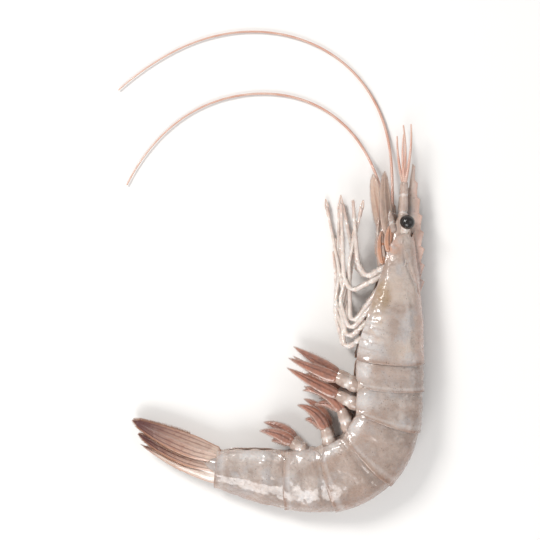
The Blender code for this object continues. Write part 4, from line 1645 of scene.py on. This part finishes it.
@dataclass
class TailFan:
    """The pointed telson and the four tail blades, half closed round it.

    A root is its distance from the midline towards the back, and its distance to the side.
    """

    form: BodyForm
    roots_before_end: float = 2.5
    telson_root: Pair = (2.9, 0.6)
    outer_root: Pair = (-2.9, 1.9)
    inner_root: Pair = (0.3, 1.1)
    telson_headings: Pair = (164.0, 152.0)
    outer_headings: Pair = (163.0, 153.0)
    inner_headings: Pair = (164.0, 152.0)
    telson: Blade = Blade(half_width=2.2, thick=1.6, drop=0.8, roll=12.0, widest=0.15, stem=0.9, blunt=1.0)
    outer: Blade = Blade(half_width=3.2, thick=0.9, drop=0.6, roll=24.0, widest=0.36, stem=0.7, blunt=0.68)
    inner: Blade = Blade(half_width=2.8, thick=0.85, drop=0.6, roll=32.0, widest=0.4, stem=0.55, blunt=0.75)
    telson_length: float = 25.0
    outer_length: float = 28.0
    inner_length: float = 26.0
    telson_grid: tuple[int, int] = (90, 64)
    blade_grid: tuple[int, int] = (110, 80)
    stem_along: tuple[float, float, float] = (-5.0, 0.0, 3.0)
    stem_back: tuple[float, float, float] = (-0.8, -1.0, -1.6)
    stem_side: float = 1.7
    stem_knots: tuple[float, float, float] = (0.0, 0.62, 1.0)
    stem_radii: tuple[float, float, float] = (2.3, 2.3, 1.5)
    stem_samples: int = 30

    def root(self, back: float, side: float) -> Array:
        """A blade's root near the end of the last ring."""
        return self.form.midline.place(self.form.midline.end - self.roots_before_end, back, side)

    @staticmethod
    def telson_relief(share: Array, across: Array) -> Array:
        """A groove down the middle between two ridges."""
        ridges = 0.22 * bell(np.abs(across), 0.36, 0.14)
        return (ridges - 0.3 * bell(across, 0.0, 0.16)) * smooth_step(share * 5.0)

    @staticmethod
    def blade_relief(share: Array, across: Array) -> Array:
        """A midrib, a rib along each edge, a cross line near the tip, and fine lines between.

        Args:
            share: Share of the blade's length.
            across: Place across it, from -1 to 1.

        Returns:
            How far the relief stands out.
        """
        rib = 0.26 * bell(across, 0.0, 0.09) + 0.16 * bell(np.abs(across), 0.86, 0.08)
        lines = 0.035 * np.sin(across * 34.0) * smooth_step((share - 0.15) / 0.2)
        cross = -0.12 * bell(share + 0.06 * across**2, 0.76, 0.014)
        return (rib * (1.0 - 0.6 * share) + lines + cross) * smooth_step((1.0 - share) * 8.0)

    def stem(self, side: Side, finish: bpy.types.Material) -> None:
        """The stem of one side's blades: a tube that bends once.

        Args:
            side: Which flank.
            finish: Its material.
        """
        at = self.form.midline.end + np.array(self.stem_along)
        knots = self.form.midline.place(at, np.array(self.stem_back), side.value * self.stem_side)
        share = np.linspace(0.0, 1.0, self.stem_samples)
        path = np.stack([np.interp(share, self.stem_knots, knots[:, i]) for i in range(3)], 1)
        radii = np.interp(share, self.stem_knots, self.stem_radii)
        piece = Piece(f"tail_stem_{side.word}")
        piece.add_tube(path, radii, 28, along=104.0, share=0.5, around=1.4)
        piece.make(Slot.SHELL, finish)

    def build(
        self, finish: bpy.types.Material, pale: bpy.types.Material, stem_finish: bpy.types.Material
    ) -> None:
        """Makes the telson, the four blades with their fringes, and the two stems.

        Args:
            finish: The blades' material.
            pale: The telson's material.
            stem_finish: The stems' material.
        """
        root = self.root(*self.telson_root)
        telson = self.telson.fitted(root, self.telson_headings, self.telson_length, Side.LEFT)
        piece = Piece("telson")
        telson.add(piece, self.telson_relief, self.telson_grid)
        telson.add_fringe(piece, 60, 0.7, 0.45, 70)
        piece.make(Slot.TAIL, pale)
        for side in Side:
            outer_root = self.root(self.outer_root[0], side.value * self.outer_root[1])
            inner_root = self.root(self.inner_root[0], side.value * self.inner_root[1])
            outer = self.outer.fitted(outer_root, self.outer_headings, self.outer_length, side)
            inner = self.inner.fitted(inner_root, self.inner_headings, self.inner_length, side)
            for name, blade, seed in (("outer", outer, 80), ("inner", inner, 81)):
                piece = Piece(f"tail_blade_{name}_{side.word}")
                blade.add(piece, self.blade_relief, self.blade_grid)
                blade.add_fringe(piece, 130, 1.3, 0.4, seed + side.value)
                piece.make(Slot.TAIL, finish)
            self.stem(side, stem_finish)


@dataclass
class Feelers:
    """The antennal scales, the long antennae, and the antennules with two short feelers each.

    Lengths and headings hold the left antenna's and then the right antenna's.
    """

    form: BodyForm
    radius: float = 0.42
    antenna_root: tuple[float, float, float] = (1.0, -2.4, 1.9)
    antenna_samples: int = 420
    base: tuple = (
        (0.0, 1.35),
        (2.6, 1.4),
        (3.0, 1.05),
        (3.3, 1.3),
        (5.6, 1.2),
        (5.9, 0.9),
        (6.2, 1.05),
        (8.6, 0.8),
    )
    base_joints: Pair = (3.0, 5.9)
    table_gap: float = 0.3
    lengths: Pair = (108.0, 122.0)
    headings: tuple = (
        (102.0, 110.0, 140.0, 172.0, 198.0, 224.0, 244.0),
        (88.0, 94.0, 122.0, 154.0, 182.0, 206.0, 222.0),
    )
    stalk_root: tuple[float, float, float] = (1.0, 0.2, 1.1)
    stalk_end: tuple[float, float, float] = (-14.0, -0.6, 1.9)
    stalk_radii: tuple[float, float, float] = (1.5, 1.3, 0.9)
    stalk_joints: Pair = (0.42, 0.74)
    stalk_flatness: float = 0.9
    short_feelers: tuple = (((80.0, 86.0, 96.0), 17.0), ((101.0, 94.0, 86.0), 14.0))
    leaf: Blade = Blade(half_width=2.7, thick=0.8, roll=46.0, widest=0.35, stem=0.55, blunt=0.6)
    leaf_root: tuple[float, float, float] = (4.5, -2.6, 1.9)
    leaf_headings: Pair = (102.0, 88.0)
    leaf_right_swing: float = 8.0
    leaf_length: float = 21.0
    leaf_rise: float = 0.5
    leaf_grid: tuple[int, int] = (90, 64)

    def at(self, place: tuple[float, float, float], side: Side) -> Array:
        """A point of the body on the given flank, from its place on the left one."""
        along, back, out = place
        return self.form.midline.place(along, back, side.value * out)

    @staticmethod
    def scale_relief(share: Array, across: Array) -> Array:
        """A stout rib along the outer edge, a weaker midrib, and fine lines.

        Args:
            share: Share of the blade's length.
            across: Place across it, from -1 to 1.

        Returns:
            How far the relief stands out.
        """
        rib = 0.3 * bell(across, -0.8, 0.12) + 0.14 * bell(across, 0.1, 0.1)
        held = smooth_step(share * 8.0) * smooth_step((1.0 - share) * 5.0)
        return (rib + 0.03 * np.sin(across * 30.0)) * held

    @staticmethod
    def swept(start: Array, length: float, headings: tuple, count: int) -> Array:
        """A flat line whose heading passes smoothly through headings, as (count, 2) points."""
        knots = tuple(zip(np.linspace(0.0, 1.0, len(headings)), headings))
        return even_path(start, through(np.linspace(0.0, 1.0, 400), knots), length, count)

    def antenna(self, side: Side, finish: bpy.types.Material, limb: bpy.types.Material) -> None:
        """One long antenna: it leaves a base of three joints, comes down, then lies on the table in an arc.

        Args:
            side: Which flank.
            finish: The feeler's material.
            limb: The base's material.
        """
        order = 0 if side is Side.LEFT else 1
        root = self.at(self.antenna_root, side)
        share = np.linspace(0.0, 1.0, self.antenna_samples)
        flat = self.swept(root, self.lengths[order], self.headings[order], len(share))
        lowest = self.radius + self.table_gap
        height = lowest + (root[2] - lowest) * (1.0 - smooth_step(share * 3.6))
        length = share * self.lengths[order]
        beads = 1.0 + 0.02 * np.sin(length * 5.5)
        path = np.column_stack([flat, height])
        piece = Piece(f"antenna_{side.word}")
        piece.add_tube(path, self.radius * (1.0 - 0.5 * share) * beads, 12, share=share, length=length)
        piece.make(Slot.FEELER, finish)
        run = np.linspace(0.0, self.base[-1][0], 90)
        path = np.stack([np.interp(run, length, path[:, i]) for i in range(3)], 1)
        joint = bell(run[:, None], np.array([self.base_joints]), 0.4).max(1)
        base = Piece(f"antenna_base_{side.word}")
        base.add_tube(path, np.interp(run, *zip(*self.base)), 24, share=run / run[-1], joint=joint)
        base.make(Slot.LIMB, limb)

    def antennule(self, side: Side, finish: bpy.types.Material, limb: bpy.types.Material) -> None:
        """One antennule: a stalk of three joints and two short feelers.

        Args:
            side: Which flank.
            finish: The feelers' material.
            limb: The stalk's material.
        """
        root, knee = self.at(self.stalk_root, side), self.at(self.stalk_end, side)
        share = np.linspace(0.0, 1.0, 90)
        joint = bell(share[:, None], np.array([self.stalk_joints]), 0.022).max(1)
        radii = np.interp(share, (0.0, 0.5, 1.0), self.stalk_radii) * (1.0 - 0.2 * joint)
        stalk = Piece(f"antennule_stalk_{side.word}")
        path = root + (knee - root) * share[:, None]
        stalk.add_tube(path, radii, 22, self.stalk_flatness, share=0.3, joint=joint)
        stalk.make(Slot.LIMB, limb)
        piece = Piece(f"antennule_{side.word}")
        share = np.linspace(0.0, 1.0, 110)
        for headings, reach in self.short_feelers:
            turns = tuple(heading - 3.0 * side.value for heading in headings)
            flat = self.swept(knee[:2] - (0.0, 1.0), reach, turns, len(share))
            height = knee[2] + side.value * 0.3 - 1.4 * share
            radii = (0.48 - 0.28 * share) * (1.0 + 0.025 * np.sin(share * 120.0))
            piece.add_tube(np.column_stack([flat, height]), radii, 12, share=share, length=share * reach)
        piece.make(Slot.FEELER, finish)

    def scale(self, side: Side, finish: bpy.types.Material) -> None:
        """One antennal scale: a stiff leaf with a hairy inner edge.

        Args:
            side: Which flank.
            finish: Its material.
        """
        swing = 0.0 if side is Side.LEFT else self.leaf_right_swing
        headings = (self.leaf_headings[0] + swing, self.leaf_headings[1] + swing)
        leaf = replace(self.leaf, drop=-side.value * self.leaf_rise)
        leaf = leaf.fitted(self.at(self.leaf_root, side), headings, self.leaf_length, side)
        piece = Piece(f"antennal_scale_{side.word}")
        leaf.add(piece, self.scale_relief, self.leaf_grid)
        leaf.add_fringe(piece, 80, 1.1, 0.35, 90 + side.value)
        piece.make(Slot.SWIMMING_LEG, finish)

    def build(self, finish: bpy.types.Material, limb: bpy.types.Material, scale: bpy.types.Material) -> None:
        """Builds both sides' feelers.

        Args:
            finish: The feelers' material.
            limb: The material of the stalks and bases.
            scale: The scales' material.
        """
        for side in Side:
            self.scale(side, scale)
            self.antenna(side, finish, limb)
            self.antennule(side, finish, limb)


@dataclass(frozen=True)
class Lamp:
    """A square soft light that faces the prawn: its place and width in metres, its power in watts."""

    name: str
    place: tuple[float, float, float]
    width: float
    power: float
    colour: Colour = (1.0, 1.0, 1.0)

    def make(self) -> None:
        """Makes the light."""
        lamp = bpy.data.lights.new(self.name, "AREA")
        lamp.size = self.width
        lamp.energy = self.power
        lamp.color = self.colour
        made = bpy.data.objects.new(self.name, lamp)
        made.location = self.place
        made.rotation_euler = (-Vector(self.place)).to_track_quat("-Z", "Y").to_euler()
        bpy.context.scene.collection.objects.link(made)


@dataclass
class Studio:
    """A pale floor, soft light from the upper left, and a camera straight above."""

    floor_colour: Colour = (0.8, 0.785, 0.77)
    floor_reach: float = 3.0
    floor_roughness: float = 0.7
    frame_width: float = 0.152
    lens: float = 100.0
    world_strength: float = 0.43
    lamps: tuple[Lamp, ...] = (
        Lamp("key_light", (-0.34, 0.3, 0.48), 0.2, 3.2, (1.0, 0.99, 0.97)),
        Lamp("low_light", (-0.12, -0.46, 0.42), 0.36, 2.3),
        Lamp("fill_light", (0.5, 0.05, 0.45), 0.5, 0.7, (0.97, 0.98, 1.0)),
    )

    def floor(self) -> None:
        """A flat floor just under the prawn."""
        mesh = bpy.data.meshes.new("floor")
        signs = ((-1.0, -1.0), (1.0, -1.0), (1.0, 1.0), (-1.0, 1.0))
        corners = [(x * self.floor_reach, y * self.floor_reach, 0.0) for x, y in signs]
        mesh.from_pydata(corners, [], [(0, 1, 2, 3)])
        material = bpy.data.materials.new("pale_floor")
        material.use_nodes = True
        shader = material.node_tree.nodes["Principled BSDF"]
        shader.inputs["Base Color"].default_value = (*self.floor_colour, 1.0)
        shader.inputs["Roughness"].default_value = self.floor_roughness
        mesh.materials.append(material)
        made = bpy.data.objects.new("floor", mesh)
        bpy.context.scene.collection.objects.link(made)

    def room(self) -> None:
        """An even white room, and the plain view of colours."""
        world = bpy.data.worlds.new("soft_room")
        world.use_nodes = True
        background = world.node_tree.nodes["Background"]
        background.inputs["Color"].default_value = (1.0, 1.0, 1.0, 1.0)
        background.inputs["Strength"].default_value = self.world_strength
        bpy.context.scene.world = world
        bpy.context.scene.view_settings.view_transform = "Standard"

    def camera(self) -> None:
        """A long lens straight above, with the prawn's head to the top of the picture."""
        data = bpy.data.cameras.new("camera")
        data.lens = self.lens
        made = bpy.data.objects.new("camera", data)
        made.location = (0.0, 0.0, self.frame_width * self.lens / data.sensor_width)
        bpy.context.scene.collection.objects.link(made)
        bpy.context.scene.camera = made

    def build(self) -> None:
        """Builds the floor, the lights, the room and the camera."""
        self.floor()
        for lamp in self.lamps:
            lamp.make()
        self.room()
        self.camera()


def main() -> None:
    """Builds every sub-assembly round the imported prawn."""
    logging.basicConfig(level=logging.INFO, format="%(name)s: %(message)s")
    form = BodyForm(Midline())
    shell, flesh, limb = ShellFinish().dress(), FleshFinish().dress(), LimbFinish().dress()
    swimming, feeler = SwimmingLegFinish().dress(), FeelerFinish().dress()
    stem = LimbFinish("shell_grey_limb", (0.46, 0.36, 0.31), (0.27, 0.18, 0.14)).dress()
    scale = SwimmingLegFinish(
        name="beige_scale",
        orange=(0.5, 0.36, 0.28),
        dusty=(0.38, 0.27, 0.22),
        groove=(0.25, 0.12, 0.085),
    ).dress()
    mouth = SwimmingLegFinish(
        name="orange_mouth",
        orange=(0.52, 0.26, 0.16),
        dusty=(0.4, 0.22, 0.15),
        groove=(0.2, 0.08, 0.05),
    ).dress()
    telson = TailFinish(
        name="pale_telson",
        pale=(0.8, 0.73, 0.67),
        brown=(0.66, 0.52, 0.43),
        dark=(0.24, 0.1, 0.075),
        edge=(0.46, 0.2, 0.1),
        tip=0.7,
    ).dress()
    ShellPlates(form).build(shell, flesh)
    Rostrum(form).build(shell)
    Eyes(form).build(EyeFinish().dress(), limb)
    WalkingLegs(form).build(limb)
    MouthParts(form).build(mouth, stem)
    SwimmingLegs(form).build(swimming, stem)
    TailFan(form).build(TailFinish().dress(), telson, shell)
    Feelers(form).build(feeler, stem, scale)
    Studio().build()


if __name__ == "__main__":
    main()
